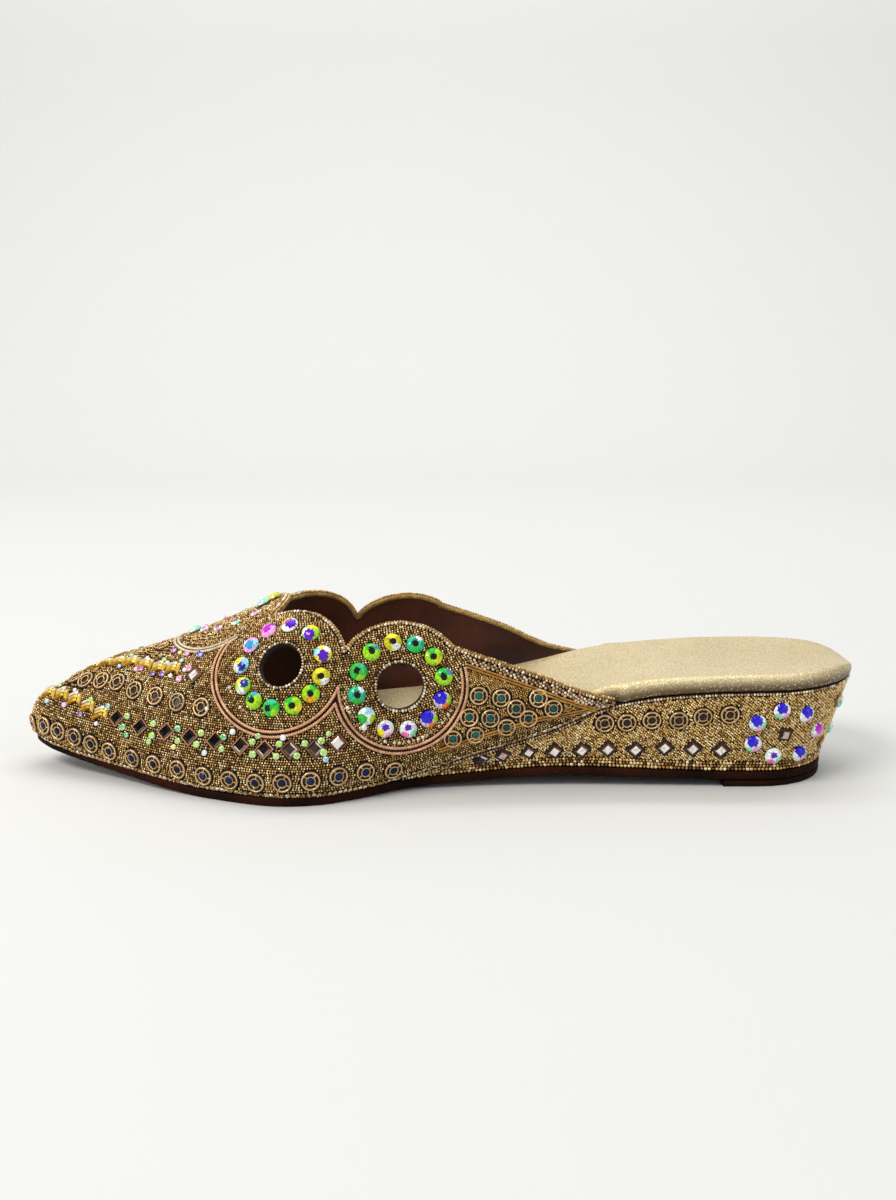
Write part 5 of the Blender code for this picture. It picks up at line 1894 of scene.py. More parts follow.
@dataclass
class UpperDecoration:
    """Everything sewn on one or both sides of the upper, from the toe to the tails."""

    bench: Bench
    trims: Trims
    cord_thick: float = 1.05
    front_cord: float = 21.0
    back_cord: float = 19.5
    lobe_cord: float = 18.9
    lobe_d: float = 65.0
    front_stones: float = 13.2
    back_stones: float = 13.4
    cord_apart: float = 0.75
    cusp_between: tuple[float, float] = (-95.0, -10.0)
    copper_from: float = 134.0
    copper_to: float = 377.0
    gem_seed: int = 21
    row_gem_step: float = 3.1
    row_gem_reach: tuple[float, float] = (2.5, 3.3)
    row_gem_sizes: tuple[float, float] = (1.4, 1.9)
    second_gem_share: float = 0.6
    between_gem_sizes: tuple[float, float] = (1.6, 2.0)
    gusset_corner: tuple[float, float] = (139.75, 39.4)
    gusset_tip: tuple[float, float] = (179.0, 25.5)
    gusset_low: float = 4.6
    gusset_low_from: float = 131.5
    gusset_low_ends: float = 158.0
    gusset_cord_apart: float = 0.42

    def across(self, d: float, y: float) -> Array:
        """The pattern point near the ridge at a distance from the toe and a y from the heel's centre line."""
        last = self.bench.last
        row = last.row(d)
        side = Side.LATERAL if y < last.grid[Side.MEDIAL][row, 0, 1] - CENTRE_LINE_Y else Side.MEDIAL
        found = (last.grid[side][row, :, 1] - CENTRE_LINE_Y) * side.value
        share = float(np.interp(y * side.value, found[:40], np.linspace(0.0, 1.0, last.COLUMNS)[:40]))
        return np.array([last.along(d), side.value * share * float(last.girth(side, d))])

    def rows(self, side: Side) -> None:
        """The rows of mounts and lozenges that run back from the toe."""
        bench, trims = self.bench, self.trims
        first = 0 if side is Side.LATERAL else 1
        trims.medallions(bench.above(side, STONE_MEDALLIONS[first:], lift=-0.1), NAVY_GLASS)
        trims.medallions(bench.above(side, PLAIN_MEDALLIONS, lift=-0.1))
        trims.medallions(bench.above(side, SMALL_MEDALLIONS, lift=-0.1), size=0.72)
        turn = np.interp(LOZENGES[:, 0], (80.0, 88.0, 101.0), (-27.0, -16.0, 4.0))
        trims.lozenges(bench.above(side, LOZENGES, turn), LOZENGE_LOOKS)
        trims.lozenges(bench.above(side, UPPER_LOZENGE, -27.0), [Glass.PALE], 0.95)
        for line in BAR_LINES:
            d = np.arange(line[0, 0] + 0.4, line[-1, 0], BAR_STEP)
            rise = np.interp(d, *line.T)
            for look, slant, across, along in BAR_GROUP:
                tilt = math.radians(slant)
                at_d, up = d + along + side.value * across * math.sin(tilt), rise + across * math.cos(tilt)
                trims.bars(bench.above(side, np.stack([at_d, up], axis=1), slant), look)
        self._gems(side)

    def _gems(self, side: Side) -> None:
        """The small stones round the bars, between the lozenges and higher up the toe."""
        draw, gems = np.random.default_rng(self.gem_seed), []
        for line, start in zip(BAR_LINES, (6.0, 30.0)):
            for k, d in enumerate(np.arange(start, line[-1, 0] + 1.0, self.row_gem_step)):
                rise = np.interp(d, *line.T) + (1 if k % 2 else -1) * draw.uniform(*self.row_gem_reach)
                gems.append((d, rise, ROW_GEMS[k % len(ROW_GEMS)], draw.uniform(*self.row_gem_sizes)))
        for d, rise in (LOZENGES[1:] + LOZENGES[:-1]) / 2:
            for sign in (1, -1):
                for k in range(1 + int(draw.random() < self.second_gem_share)):
                    at_d = d + draw.uniform(-1.3, 1.3) + (k - 0.5) * 1.4
                    colour = BETWEEN_GEMS[draw.integers(len(BETWEEN_GEMS) if k else 3)]
                    size = draw.uniform(*self.between_gem_sizes) + (0.4 if k == 0 else 0.0)
                    gems.append((at_d, rise + sign * (1.7 + 1.9 * k), colour, size))
        gems += HIGH_GEMS
        spots = self.bench.above(side, [gem[:2] for gem in gems], 0.0, 0.1)
        self.trims.gems(spots, [gem[2] for gem in gems], np.array([gem[3] for gem in gems]))

    def rings(self, side: Side) -> None:
        """The coated stones round the two cut-outs and the cord under them."""
        bench, trims = self.bench, self.trims
        for name, stones, radius in (
            ("front", FRONT_STONES, self.front_stones), ("back", BACK_STONES, self.back_stones)
        ):
            ring = bench.pattern.ring(side, name)
            flat = np.array([ring.spot(angle, radius) for angle, _ in stones])
            trims.stones(bench.spots(flat, side, 0.0, -0.15), [look for _, look in stones])
        for name, start, end, radius in (("back", 195.0, 345.0, 17.1), ("front", 165.0, 222.0, 17.5)):
            grains = bench.path(bench.pattern.ring(side, name).arc(start, end, radius), 0.05)
            trims.row(grains, "bright_beads", 1.25, gap=1.16, seed=9, clear=False, spread=0.2)
        for inset, slant in ((-self.cord_apart, -38.0), (self.cord_apart, 38.0)):
            trims.cord(bench.path(self.copper_line(side, inset), 0.15), "copper", self.cord_thick, slant)
        trims.row(bench.path(self.copper_line(side, 0.0), -0.05), "thread", 0.55, (1.7, 0.8, 0.8), gap=1.25)

    def copper_line(self, side: Side, inset: float) -> Array:
        """The scalloped line of the copper cord: round the front ring, a cusp, then round the back one.

        Args:
            side: The side of the shoe.
            inset: How far inside the line, towards the rings' centres.

        Returns:
            The line in pattern coordinates, from the top of the front ring to the gusset's corner.
        """
        last, place, up = self.bench.last, RINGS["front", side], -side.value
        front = Petal(last, last.at_height(side, place.d - 1.5, place.height), self.front_cord - inset)
        back = Petal(last, self.bench.pattern.ring(side, "back").centre, self.back_cord - inset)
        cusp = front.notch(back, *(up * math.radians(degrees) for degrees in self.cusp_between))
        start = up * math.radians(self.copper_from)
        first = front.arc(start, self._on(start, front.angle_of(cusp), up), 0.6)
        second = back.arc(self._on(0.0, back.angle_of(cusp), up), up * math.radians(self.copper_to), 0.6)
        return np.concatenate([first, second[1:]])

    @staticmethod
    def _on(start: float, end: float, up: int) -> float:
        """The end angle counted on past the start, so that the arc runs round the front and the bottom."""
        while up * end < up * start:
            end += up * math.tau
        return end

    def centre_ring(self) -> None:
        """The ring of stones on the middle petal and the cream cord in front of it."""
        bench, trims, last = self.bench, self.trims, self.bench.last
        near = [(self.across(d, y), look) for d, y, look in CENTRE_STONES]
        far = [(self.across(d, -0.9 - y), look) for d, y, look in CENTRE_STONES[1:-1]]
        small = {Stone.MINT_ROSE, Stone.ICE_VIOLET}
        for tiny, size, lift in ((True, 0.56, 0.0), (False, 0.86, 0.5)):
            chosen = [(spot, look) for spot, look in near + far if (look in small) is tiny]
            spots = bench.spots(np.array([spot for spot, _ in chosen]), Side.LATERAL, 20.0, lift)
            trims.stones(spots, [look for _, look in chosen], size)
        for inset, slant in ((-0.62, -38.0), (0.62, 38.0)):
            circle = Petal(last, (last.along(self.lobe_d), self.across(self.lobe_d, -0.5)[1]), self.lobe_cord - inset)
            line = circle.arc(math.radians(76.0), math.radians(284.0), 0.6)
            trims.cord(bench.path(line, 0.2), "cream_cord", 1.0, slant)

    def gusset_lines(self, side: Side) -> tuple[Array, Array]:
        """The gusset's upper line and its lower one, both from the ring's cord back to the tip."""
        last, (start, high_z), (tip, low_z) = self.bench.last, self.gusset_corner, self.gusset_tip
        rise = (low_z - high_z) / (tip - start)
        high = [last.at_height(side, d, high_z + rise * (d - start)) for d in np.linspace(start, tip, 60)]
        d = np.linspace(self.gusset_low_from, tip, 70)
        up = self.gusset_low * (1 - step(d, self.gusset_low_ends, tip + 2.0)) + 1.3
        return np.array(high), last.above_foot(side, np.stack([d, up], axis=1))

    def gusset(self, side: Side) -> None:
        """The gold-beaded triangle between the back ring and the tail, with its mounts and its cord."""
        bench, trims = self.bench, self.trims
        flat = np.array([bench.last.at_height(side, d, z) for d, z in GUSSET_MEDALLIONS])
        trims.medallions(bench.spots(flat, side, lift=-0.1), TEAL_GLASS, size=0.97)
        for line in self.gusset_lines(side):
            for offset in (-self.gusset_cord_apart, self.gusset_cord_apart):
                trims.cord(bench.path(bench.offset(line, offset), 0.1), "gold_cord", 0.8)

    def in_gusset(self, side: Side, flat: Array) -> Array:
        """Which pattern points lie inside the gusset."""
        high, low = self.gusset_lines(side)
        arc = self.bench.pattern.ring(side, "back").arc(17.0, -60.0, self.back_cord)
        return inside(np.concatenate([high[::-1], arc, low]), flat)

    def edges(self, side: Side) -> None:
        """The bead rows along the topline, the tail, the cut-outs and the feather line."""
        bench, trims, pattern = self.bench, self.trims, self.bench.pattern
        throat = pattern.throat(side, 0.8)
        trims.row(bench.path(bench.inward(throat, 0.55)), "bright_beads", 1.05, seed=3)
        trims.row(self._rim(throat), "gold_beads", 0.85, seed=5, clear=False)
        for name in ("front", "back"):
            ring = pattern.ring(side, name)
            line = ring.arc(0.0, 360.0, ring.place.hole + 0.42)[:-1]
            trims.row(bench.path(line, -0.1), "bright_beads", 0.95, seed=6, loop=True, spread=0.2)
        trims.row(bench.path(pattern.foot(side, 0.75)), "bright_beads", 0.9, (1.75, 0.95, 0.95), seed=8)
        trims.row(bench.path(pattern.foot(side, 0.0), -0.35), "beads", 0.8, seed=12, spread=0.2)

    def _rim(self, flat: Array) -> Path:
        """The crest of the topline's braid as a path, facing out of the edge."""
        edge, away = self.bench.path(flat)
        out_of_edge = unit(edge - self.bench.path(self.bench.inward(flat, 1.0))[0])
        return edge + out_of_edge * 0.35 - away * 0.6, out_of_edge

    def make(self) -> list[Obj]:
        """Sews on everything but the bead ground."""
        made = []
        for name, sew in (
            ("mounts", self.rows), ("rings", self.rings), ("gussets", self.gusset), ("edge_rows", self.edges)
        ):
            for side in SIDES:
                sew(side)
            if name == "rings":
                self.centre_ring()
            made.append(self.trims.done("upper_" + name))
        return made


@dataclass
class UpperBeads:
    """The ground of seed beads that fills the upper between its stones and cords."""

    bench: Bench
    decoration: UpperDecoration
    pitch: float = 0.82
    fine_pitch: float = 0.66
    bold_pitch: float = 1.06
    band_from: float = 140.5
    seed: int = 77

    def places(self, side: Side, pitch: float, draw: np.random.Generator) -> tuple[Array, Array, Array]:
        """Bead places on one side, in rows that follow the feather line, where the cloth is free.

        Args:
            side: The side of the shoe.
            pitch: Distance from one bead to the next.
            draw: For the unevenness of handwork.

        Returns:
            The places, their outward directions and their pattern coordinates.
        """
        bench, last = self.bench, self.bench.last
        d = np.linspace(0.05, TAIL_END_D - 0.4, 700)
        girth, rows = last.girth(side, d), []
        for rise in np.arange(0.5 * pitch, girth.max(), 0.87 * pitch):
            use = d[girth > rise + 0.3 * pitch]
            if len(use) > 3:
                flat = last.above_foot(side, np.stack([use, np.full(len(use), rise)], axis=1))
                rows.append(np.concatenate([*bench.path(flat), flat], axis=1))
        found = packed(rows, pitch, draw)
        found = found[bench.pattern.covers(found[:, 6:])]
        found = found[bench.clearings.free(found[:, :3])]
        return found[:, :3], unit(found[:, 3:6]), found[:, 6:]

    def above_gusset(self, side: Side, flat: Array) -> Array:
        """Which pattern points lie between the gusset's upper line and the topline."""
        high, _ = self.decoration.gusset_lines(side)
        level = np.interp(flat[:, 0], high[:, 0], np.abs(high[:, 1]))
        return (self.bench.last.distance(flat[:, 0]) > self.band_from) & (np.abs(flat[:, 1]) < level)

    def make(self) -> list[Obj]:
        """Fills both sides: gold and fine in the gussets, bold behind them, mixed everywhere else."""
        bench, draw = self.bench, np.random.default_rng(self.seed)
        parts: dict[Side, list[Obj]] = {side: [] for side in SIDES}
        for pitch, size, region, finish in (
            (self.pitch, 0.72, "ground", "beads"),
            (self.fine_pitch, 0.7, "gusset", "gold_beads"),
            (self.bold_pitch, 1.14, "band", "bright_beads"),
        ):
            for side in SIDES:
                points, away, flat = self.places(side, pitch, draw)
                gusset = self.decoration.in_gusset(side, flat)
                band = ~gusset & self.above_gusset(side, flat)
                chosen = {"ground": ~gusset & ~band, "gusset": gusset, "band": band}[region]
                points, away, chance = points[chosen], away[chosen], draw.random(int(chosen.sum()))
                turns = np.random.default_rng(len(points)).normal(size=(len(points), 3))
                name, spots = f"beads_{side.name}_{region}", (points - away * 0.08, turns, away)
                finished, look = bench.finishes[finish], {"size": size, "spread": 0.09, "chance": chance}
                parts[side].append(bench.sewing.set(name, "bead", spots, finished, **look))
        return [dress(joined(f"upper_beads_{side.name.lower()}", parts[side]), "beaded_cloth") for side in SIDES]


# The wedge

# distance from the toe, and height as a share of the wall's
WEDGE_PLAIN = ((182.7, 0.74), (189.8, 0.69), (197.5, 0.69), (205.9, 0.67), (213.1, 0.71), (221.3, 0.73))
WEDGE_LOZENGES = np.array((
    (144.8, 0.63), (151.5, 0.62), (159.9, 0.52), (168.5, 0.39), (177.5, 0.31), (185.9, 0.29), (194.9, 0.27),
    (204.0, 0.30), (213.1, 0.29), (222.2, 0.27),
))
FLOWER = (
    (230.8, 0.62, Stone.ROYAL_PINK), (237.1, 0.77, Stone.ROYAL_ROSE), (246.0, 0.69, Stone.ROYAL_PINK),
    (252.5, 0.45, Stone.MAGENTA_PEARL), (249.1, 0.18, Stone.ROYAL_PINK), (239.8, 0.19, Stone.PEARL_MINT),
    (231.8, 0.35, Stone.ROYAL_ROSE),
)
FLOWER_CENTRE = (241.2, 0.46)
# the group on the heel's back: length from the middle, and height as a share
BACK_LOZENGES = np.array(((-15.2, 0.76), (15.2, 0.76), (-15.2, 0.23), (15.2, 0.23), (0.0, 0.5)))
BACK_ROUND = np.array(((-9.5, 0.68), (9.5, 0.68), (-9.5, 0.36), (9.5, 0.36), (0.0, 0.82), (0.0, 0.18)))


class WedgeWall:
    """The wedge's outer wall as a grid, from the lateral front round the heel to the medial front."""

    START, SHORTER, TOP_GAP, LEVELS = 119.0, 0.5, 0.45, 15

    def __init__(self) -> None:
        """Works out the wall's points, directions and lengths."""
        top_end, low_end = HEEL_END_D - self.SHORTER + 0.3, SOLE_END_D - 0.2
        turn = np.radians(np.linspace(90.0, 0.0, 40))
        bend = 1.0 - HEEL_ROUND / (top_end - self.START)
        self.share = np.concatenate([np.linspace(0.0, bend, 110)[:-1], bend + (1 - bend) * np.cos(turn)])
        v = np.linspace(0.0, 1.0, self.LEVELS)[None, :, None]
        chains = []
        for side in SIDES:
            ends = []
            for table, end, curve, inset in ((LAST, top_end, HEEL_ROUND, 0.4), (SOLE, low_end, SOLE_ROUND, 0.5)):
                d = self.START + self.share * (end - self.START)
                y = edge_y(table, side, d) * round_start(end - d, curve) - side.value * inset
                y = side.value * np.maximum(0.0, side.value * y)
                z = bed_z(d, y) - self.TOP_GAP if table is LAST else sole_top(d) + GAP
                ends.append(np.stack([TOE_X + d, y + CENTRE_LINE_Y, z], axis=1)[:, None, :])
            chains.append(ends[1] * (1 - v) + ends[0] * v)
        self.points = np.concatenate([chains[0], chains[1][::-1][1:]])
        along, up = np.gradient(self.points, axis=(0, 1))
        self.along, self.away = unit(along), unit(np.cross(along, up))
        self.length = run_length(self.points[:, self.LEVELS // 2])
        self.height = np.linalg.norm(self.points[:, -1] - self.points[:, 0], axis=1)
        self.rows = np.arange(len(self.points))

    def row_at(self, length: Array) -> Array:
        """The grid row, as a fraction, at a length round the wall from the lateral front."""
        return np.interp(length, self.length, self.rows)

    def spots(self, row: Array, v: Array, turn: Array | float = 0.0, lift: float = 0.0) -> Spots:
        """Places on the wall, with directions for what is sewn there.

        Args:
            row: Grid rows, as fractions.
            v: Shares of the wall's height.
            turn: Turn about the outward direction, in degrees.
            lift: Distance out from the wall.

        Returns:
            The points, the x directions (to the right as seen from outside) and the outward directions.
        """
        row, level = np.atleast_1d(np.asarray(row, float)), np.atleast_1d(np.asarray(v, float)) * (self.LEVELS - 1)
        i = np.clip(row.astype(int), 0, len(self.points) - 2)
        j = np.clip(level.astype(int), 0, self.LEVELS - 2)
        a, b = (row - i)[:, None], (level - j)[:, None]
        points, x, away = (
            (g[i, j] * (1 - b) + g[i, j + 1] * b) * (1 - a) + (g[i + 1, j] * (1 - b) + g[i + 1, j + 1] * b) * a
            for g in (self.points, self.along, self.away)
        )
        return turned(points, unit(x), away, turn, lift)

    def on(self, side: Side, places: Sequence, turn: Array | float = 0.0, lift: float = 0.0) -> Spots:
        """Places on one side, given by the nominal distance from the toe and the share of the height."""
        d, v = np.atleast_2d(places).T
        row = np.interp((d - self.START) / (HEEL_END_D - self.START), self.share, np.arange(len(self.share)))
        return self.spots(row if side is Side.LATERAL else len(self.points) - 1 - row, v, turn, lift)

    def path(self, row: Array, v: Array) -> Path:
        """A line on the wall as points and outward directions."""
        return self.spots(row, v)[::2]


@dataclass
class Wedge:
    """The covered wedge: its cloth body, mounts, heel flower and bead ground."""

    bench: Bench
    trims: Trims
    wall: WedgeWall = field(default_factory=WedgeWall)
    sunk: float = 0.42
    pitch: float = 0.78
    row_slope: float = 24.0
    wave: float = 0.45
    uneven: float = 0.07
    seed: int = 41

    def body(self) -> Obj:
        """The closed body under the beads."""
        wall = self.wall
        sunk, half = wall.points - wall.away * self.sunk, len(wall.share)
        pairs = zip(sunk[:half], sunk[half - 1 :][::-1])
        points, faces = lofted([np.concatenate([a, b[::-1]]) for a, b in pairs])
        return closed_body("wedge_cover", points, faces, self.bench.finishes["ground"], sharp=40, weld=0.02)

    def decorate(self, side: Side) -> None:
        """The mounts, the lozenges and the flower of one side."""
        trims, wall = self.trims, self.wall
        trims.medallions(wall.on(side, WEDGE_PLAIN, lift=-0.1))
        small = float(np.interp(WEDGE_LOZENGES[:3, 0], (144.0, 168.0), (0.8, 0.94)).mean())
        looks = [Glass.SMOKE, Glass.ROSE_MIRROR] + [Glass.MIRROR] * 8
        for part, size in ((slice(3), small), (slice(3, None), 0.94)):
            trims.lozenges(wall.on(side, WEDGE_LOZENGES[part]), looks[part], size, dark=True)
        trims.stones(wall.on(side, [place[:2] for place in FLOWER], lift=-0.1), [place[2] for place in FLOWER])
        trims.lozenges(wall.on(side, FLOWER_CENTRE, 33.0), [Glass.ROSE_MIRROR], 0.86, dark=True)

    def heel_back(self) -> None:
        """The group on the heel's back: amber lozenges round pale green stones."""
        wall, middle = self.wall, self.wall.length[len(self.wall.share) - 1]
        diamonds, stones = (
            wall.spots(wall.row_at(middle + places[:, 0]), places[:, 1], 0.0, lift)
            for places, lift in ((BACK_LOZENGES, 0.0), (BACK_ROUND, -0.1))
        )
        self.trims.lozenges(diamonds, [Glass.AMBER] * len(BACK_LOZENGES), 0.9)
        self.trims.stones(stones, [Stone.MINT_GREEN] * len(BACK_ROUND), 0.84)

    def edge_rows(self) -> None:
        """Bright rows along the top edge, and bolder ones in the band along the sole."""
        trims, wall = self.trims, self.wall
        last_row = len(wall.points) - 1
        rows = np.linspace(3.0, last_row - 3.0, 420)
        height = np.interp(rows, wall.rows, wall.height)
        depth, use = 0.45, height > 1.45
        trims.row(wall.path(rows[use], 1 - depth / height[use]), "bright_beads", 0.95, seed=14)
        for rise, size, seed in ((0.55, 1.15, 16), (1.6, 1.05, 17), (2.55, 1.0, 18)):
            use = height > rise + 2.4
            for part in (use & (rows < last_row / 2), use & (rows >= last_row / 2)):
                trims.row(wall.path(rows[part], rise / height[part]), "beads", size, seed=seed, spread=0.2)

    def beads(self) -> list[Obj]:
        """The fine bead ground in slanting, slightly wavy rows, half a shoe each."""
        wall, bench, pitch = self.wall, self.bench, self.pitch
        total, tallest, apart = wall.length[-1], wall.height.max(), self.pitch * math.sqrt(3) / 2
        steps, places = np.arange(-total, total + tallest, pitch), []
        for k in range(int((tallest + total) / apart)):
            places.append(np.stack([steps + (k % 2) * pitch / 2, np.full(len(steps), k * apart)], axis=1))
        grid, slope = np.concatenate(places) - (0.0, total / 2), math.radians(self.row_slope)
        a = grid[:, 0] * math.cos(slope) - grid[:, 1] * math.sin(slope)
        h = grid[:, 0] * math.sin(slope) + grid[:, 1] * math.cos(slope)
        h = h + self.wave * np.sin(a / 5.2)
        near = (a > 0.8) & (a < total - 0.8) & (h > -1) & (h < tallest)
        draw = np.random.default_rng(self.seed)
        a, h = (v[near] + draw.normal(0, self.uneven, int(near.sum())) for v in (a, h))
        row = wall.row_at(a)
        height = np.interp(row, wall.rows, wall.height)
        fits = (h > 0.35) & (h < height - 0.4)
        points, _, away = wall.spots(row[fits], h[fits] / height[fits], 0.0, -0.05)
        keep = bench.clearings.free(points)
        points, away, lateral = points[keep], away[keep], (row[fits] < len(wall.share))[keep]
        made = []
        for side in SIDES:
            mine = lateral == (side is Side.LATERAL)
            spots = (points[mine], draw.normal(size=(int(mine.sum()), 3)), away[mine])
            name, look = f"wedge_beads_{side.name.lower()}", {"size": 0.8, "spread": 0.08}
            look["chance"] = draw.random(int(mine.sum()))
            piece = bench.sewing.set(name, "bead", spots, bench.finishes["fine_beads"], **look)
            made.append(dress(piece, "beaded_cloth"))
        return made

    def make(self) -> list[Obj]:
        """Builds the body and sews everything on it."""
        made = [dress(self.body(), "beaded_cloth", "wedge")]
        for side in SIDES:
            self.decorate(side)
        self.heel_back()
        made.append(self.trims.done("wedge_mounts"))
        self.edge_rows()
        made.append(self.trims.done("wedge_edge_rows"))
        return made + self.beads()


# Footbed, outsole and heel lift


def stations(start: float, end: float, start_round: float, end_round: float, spacing: float = 2.2) -> Array:
    """Distances from start to end: even steps, and closer together where the ends are rounded."""
    turns = 1 - np.cos(np.radians([6, 14, 23, 33, 43, 54, 66, 78, 90]))
    first = start + start_round * turns if start_round else np.array([start])
    final = (end - end_round * turns)[::-1] if end_round else np.array([end])
    count = max(1, round((final[0] - first[-1]) / spacing))
    return np.concatenate([first, np.linspace(first[-1], final[0], count + 1)[1:-1], final])


@dataclass
class Footbed:
    """The padded footbed in metallic leather: flat underside, full rounded edges, slightly dished top."""

    bench: Bench
    start: float = 7.0
    thick: float = 6.6
    heel_thick: float = 5.0
    dish: float = 0.6
    pad: float = 7.0
    pad_d: float = 110.0
    pad_length: float = 24.0
    heel_round: float = 11.0
    dished_widths: tuple[float, float] = (16.0, 50.0)
    # angles in degrees over which the painted side shade fades out up the roll
    side_shade_angles: tuple[float, float] = (-34.0, 44.0)

    def thickness(self, side: Side, d: float) -> float:
        """Thinner at the heel, with a swell under the medial arch."""
        heel = min(1.0, max(0.0, (d - 150.0) / 60.0))
        pad = self.pad * math.exp(-(((d - self.pad_d) / self.pad_length) ** 2)) if side is Side.MEDIAL else 0.0
        return self.thick + (self.heel_thick - self.thick) * heel + pad

    def wall_y(self, side: Side, d: float, z: float) -> float:
        """The inner side of the upper's wall at a height, with the gap kept in front of it."""
        y, height = self.bench.last.bare[side][self.bench.last.row(d), :, 1:].T
        here, lower = (float(np.interp(-level, -height, y)) for level in (z, z - 1.0))
        return here - side.value * (WALL + GAP) * math.hypot(1.0, lower - here)

    def edge(self, side: Side, d: float, close: float) -> tuple[float, float, float, float]:
        """The rounded edge of a section: its middle's height, half its thickness, its y and its rounding."""
        thick, foot = self.thickness(side, d), float(foot_z(side, d))
        if d < TAIL_END_D + 3.0:
            reach = side.value * min(side.value * self.wall_y(side, d, z) for z in (foot + 0.5, foot + thick))
            reach = TOE_Y + (reach - TOE_Y) * float(round_start(d - self.start + 0.4, 7.0))
        else:
            reach = float(edge_y(LAST, side, d) * round_start(HEEL_END_D + 0.3 - d, HEEL_ROUND))
        half, free = thick / 2 * close, min(1.0, max(0.0, (d - TAIL_END_D - 2.0) / 8.0))
        middle = float(bed_z(d, reach)) + thick / 2 * (0.4 + 0.6 * close)
        return middle, half, reach, half * (0.45 + 0.55 * free)

    def ring(self, d: float) -> tuple[Array, Array]:
        """The section at a distance from the toe, and how far each of its points is down the side, where the shade is
        painted.
        """
        close = float(round_start(HEEL_END_D - d, self.heel_round) * round_start(d - self.start + 0.4, 2.8))
        edges = {side: self.edge(side, d, close) for side in SIDES}
        dish = self.dish * float(step(edges[Side.MEDIAL][2] - edges[Side.LATERAL][2], *self.dished_widths))
        points, down, between = [], [], np.linspace(0.0, 1.0, 14)[1:-1]
        for side, degrees in ((Side.LATERAL, np.linspace(-90, 90, 17)), (Side.MEDIAL, np.linspace(90, -90, 17))):
            middle, half, reach, corner = edges[side]
            for a in np.radians(degrees):
                drawn = corner * (1 - math.cos(a)) * (0.45 if a < 0 else 1.0)
                points.append((TOE_X + d, reach - side.value * drawn + CENTRE_LINE_Y, middle + half * math.sin(a)))
                # down: 1 below the roll, where the side's shade is painted into the colour
                down.append(1 - float(step(math.degrees(a), *self.side_shade_angles)))
            if side is Side.LATERAL:
                middle, half, reach, corner = edges[Side.MEDIAL]
                first = np.array(points[-1])
                end = np.array([TOE_X + d, reach - corner + CENTRE_LINE_Y, middle + half])
                points += [tuple(first + (end - first) * t - (0, 0, dish * 4 * t * (1 - t))) for t in between]
                down += [0.0] * len(between)
        first, end = np.array(points[-1]), np.array(points[0])
        points += [tuple(first + (end - first) * t) for t in between]
        return np.array(points), np.array(down + [1.0] * len(between))

    def make(self) -> Obj:
        """Builds the footbed."""
        front = stations(self.start, WedgeWall.START, 6.0, 0.0)
        back = stations(WedgeWall.START, HEEL_END_D, 0.0, HEEL_ROUND)
        rings = [self.ring(float(d)) for d in np.concatenate([front, back[1:]])]
        points, faces = lofted([ring for ring, _ in rings])
        made = closed_body("footbed", points, faces, self.bench.finishes["leather"], sharp=60)
        # band carries where the leather's painted side shade lies
        band = made.data.attributes.new("band", "FLOAT", "POINT")
        band.data.foreach_set("value", np.concatenate([down for _, down in rings]).astype(np.float32))
        dress(made, "metallic_leather", "insole")
        return made


@dataclass
class Sole:
    """The outsole and the heel lift: thin plates with rounded edges."""

    bench: Bench
    lift_start: float = 219.0
    lift_thick: float = 1.95

    def plate(self, name: str, distances: Array, under: Callable, over: Callable, inset: float) -> Obj:
        """A plate through flat sections.

        Args:
            name: The piece's name.
            distances: Where the sections are.
            under: The underside's height at a distance.
            over: The upper face's height there.
            inset: How far the edge is drawn in.

        Returns:
            The plate.
        """
        rings = []
        for d in distances:
            close, toe = float(round_start(SOLE_END_D + 0.2 - d, SOLE_ROUND)), 1 - float(step(d, 6.0, 60.0))
            right, left = (float(edge_y(SOLE, side, d)) * close - side.value * (inset + 0.6 * toe) for side in SIDES)
            low, high = float(under(d)) + 0.9 * toe, float(over(d))
            edge = ((0.9, 0.0), (0.42, 0.05), (0.12, 0.22), (0.0, 0.5), (0.06, 0.82), (0.35, 1.0))
            near = [(right + min(cut, (left - right) * 0.2), low + (high - low) * share) for cut, share in edge]
            far = [(right + left - y, z) for y, z in near[::-1]]
            top = [(y, high) for y in np.linspace(near[-1][0], far[0][0], 8)[1:-1]]
            bottom = [(y, low) for y in np.linspace(far[-1][0], near[0][0], 8)[1:-1]]
            rings.append(np.array([(TOE_X + d, y + CENTRE_LINE_Y, z) for y, z in near + top + far + bottom]))
        return closed_body(name, *lofted(rings), self.bench.finishes["sole"], sharp=50)

    def make(self) -> list[Obj]:
        """Builds the outsole and the lift."""
        front, back = stations(0.15, FLAT_FROM, NOSE_WIDTH, 0.0), stations(FLAT_FROM, SOLE_END_D, 0.0, SOLE_ROUND)
        outsole = self.plate("outsole_leather", np.concatenate([front, back[1:]]), sole_under, sole_top, 0.0)
        lift_d = stations(self.lift_start, SOLE_END_D - 0.5, 0.0, SOLE_ROUND)
        lift = self.plate("heel_lift_leather", lift_d, lambda d: 0.0, lambda d: self.lift_thick, 0.3)
        return [dress(outsole, "sole", "outsole"), dress(lift, "sole", "heel_lift")]


# Studio


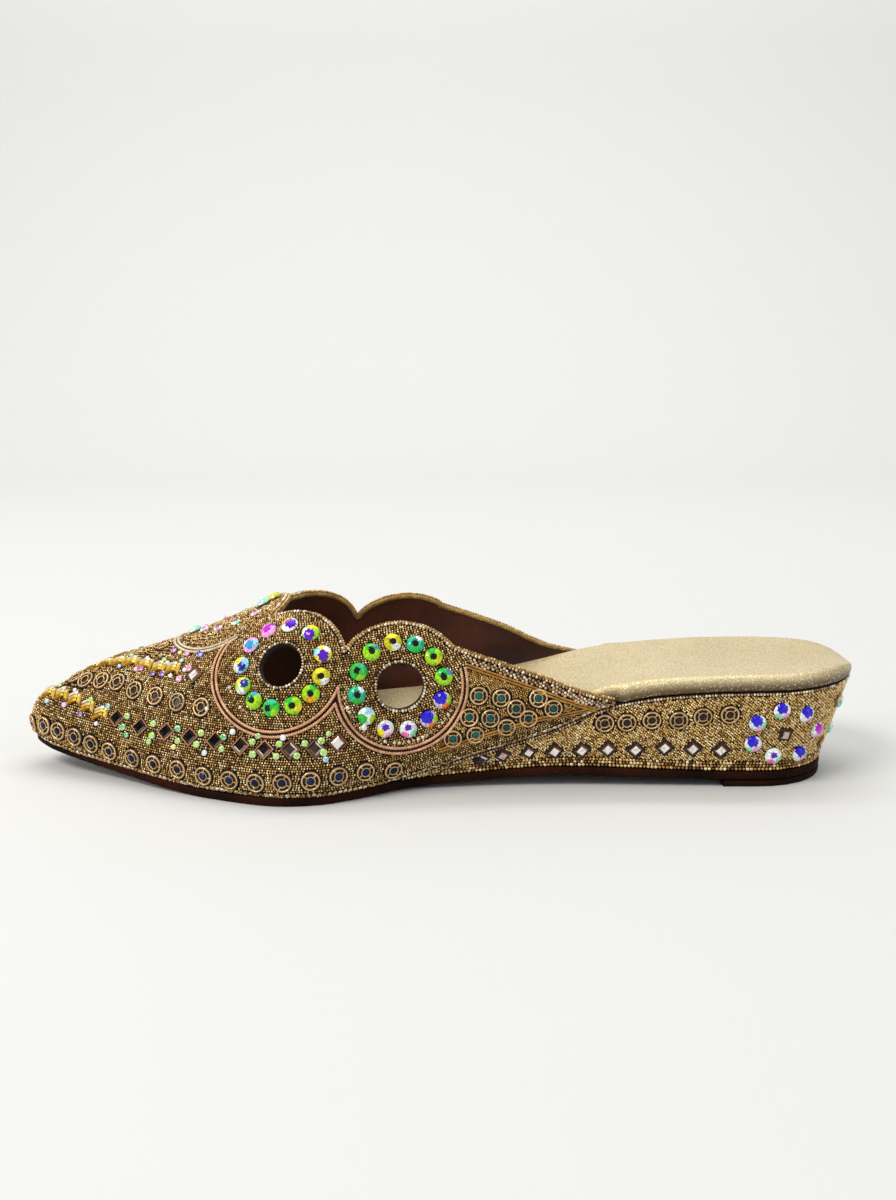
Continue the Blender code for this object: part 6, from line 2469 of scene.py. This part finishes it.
@dataclass
class Studio:
    """A pale sweep of paper, soft light from above and the left, and the camera low at the lateral side."""

    camera_at: tuple[float, float, float] = (3.45, -426.28, 135.8)
    camera_tilt: float = 79.25
    lens: float = 41.25

    def sweep(self) -> Obj:
        """The floor, which curves up behind the shoe."""
        profile = [(-1400.0, 0.0)]
        profile += [(900 + 500 * math.sin(a), 500 - 500 * math.cos(a)) for a in np.radians(np.linspace(0, 90, 14))]
        profile.append((1400.0, 2600.0))
        rings = [np.array([(x, y, z) for y, z in profile]) for x in (-2600.0, -900.0, 900.0, 2600.0)]
        points, faces = lofted(rings, closed=False)
        made = make_object("studio_sweep", points, [face[::-1] for face in faces])
        made.data.materials.append(StudioFinish("studio_paper", 0.75).make())
        return made

    @staticmethod
    def light(name: str, at: tuple, to: tuple, size: tuple[float, float], power: float, colour: Colour) -> None:
        """A soft rectangular light that points at a place; lengths in metres."""
        data = bpy.data.lights.new(name, "AREA")
        data.shape, data.size, data.size_y = "RECTANGLE", *size
        data.energy, data.color = power, linear(colour)
        made = linked(name, data)
        made.location = at
        made.rotation_euler = (Vector(to) - Vector(at)).to_track_quat("-Z", "Y").to_euler()

    def make(self) -> None:
        """Builds the stage, the lights, the world and the camera."""
        scene, shoe = bpy.context.scene, (0.0, 0.0, 0.03)
        self.sweep()
        for light in (
            ("key", (-0.7, -0.72, 1.14), shoe, (0.6, 0.42), 11.2, (255, 251, 246)),
            ("fill", (0.95, -0.85, 0.7), shoe, (0.8, 0.8), 2.6, (250, 252, 255)),
            ("top", (0.1, 0.25, 1.5), (0.0, 0.0, 0.0), (1.6, 1.2), 7.3, (255, 254, 250)),
            ("backdrop", (0.0, 0.55, 1.6), (0.0, 1.35, 0.75), (2.6, 0.6), 18.0, (255, 254, 252)),
            ("spark", (-0.9, -0.35, 0.42), shoe, (0.14, 0.14), 2.2, (255, 246, 232)),
        ):
            self.light(*light)
        world = bpy.data.worlds.new("studio_world")
        world.use_nodes = True
        background = world.node_tree.nodes["Background"].inputs
        background["Color"].default_value, background["Strength"].default_value = (0.93, 0.94, 0.96, 1.0), 0.48
        scene.world = world
        scene.view_settings.view_transform = "Standard"
        data = bpy.data.cameras.new("camera")
        data.lens, data.sensor_width, data.clip_start = self.lens, 36.0, 0.01
        camera = linked("camera", data)
        camera.location = [v * MM for v in self.camera_at]
        camera.rotation_euler = (math.radians(self.camera_tilt), 0.0, 0.0)
        scene.camera = camera


def main() -> None:
    """Builds the shoe piece by piece, then the studio."""
    logging.basicConfig(level=logging.INFO, format="%(name)s: %(message)s")
    last = Last()
    finishes = {key: finish.make() for key, finish in FINISHES.items()}
    bench = Bench(last, UpperPattern(last), Sewing(), finishes)
    trims = Trims(bench)
    trims.store_shapes()
    UpperCloth(bench).make()
    decoration = UpperDecoration(bench, trims)
    decoration.make()
    UpperBeads(bench, decoration).make()
    Wedge(bench, trims).make()
    Footbed(bench).make()
    Sole(bench).make()
    bench.sewing.clear()
    Studio().make()


if __name__ == "__main__":
    main()
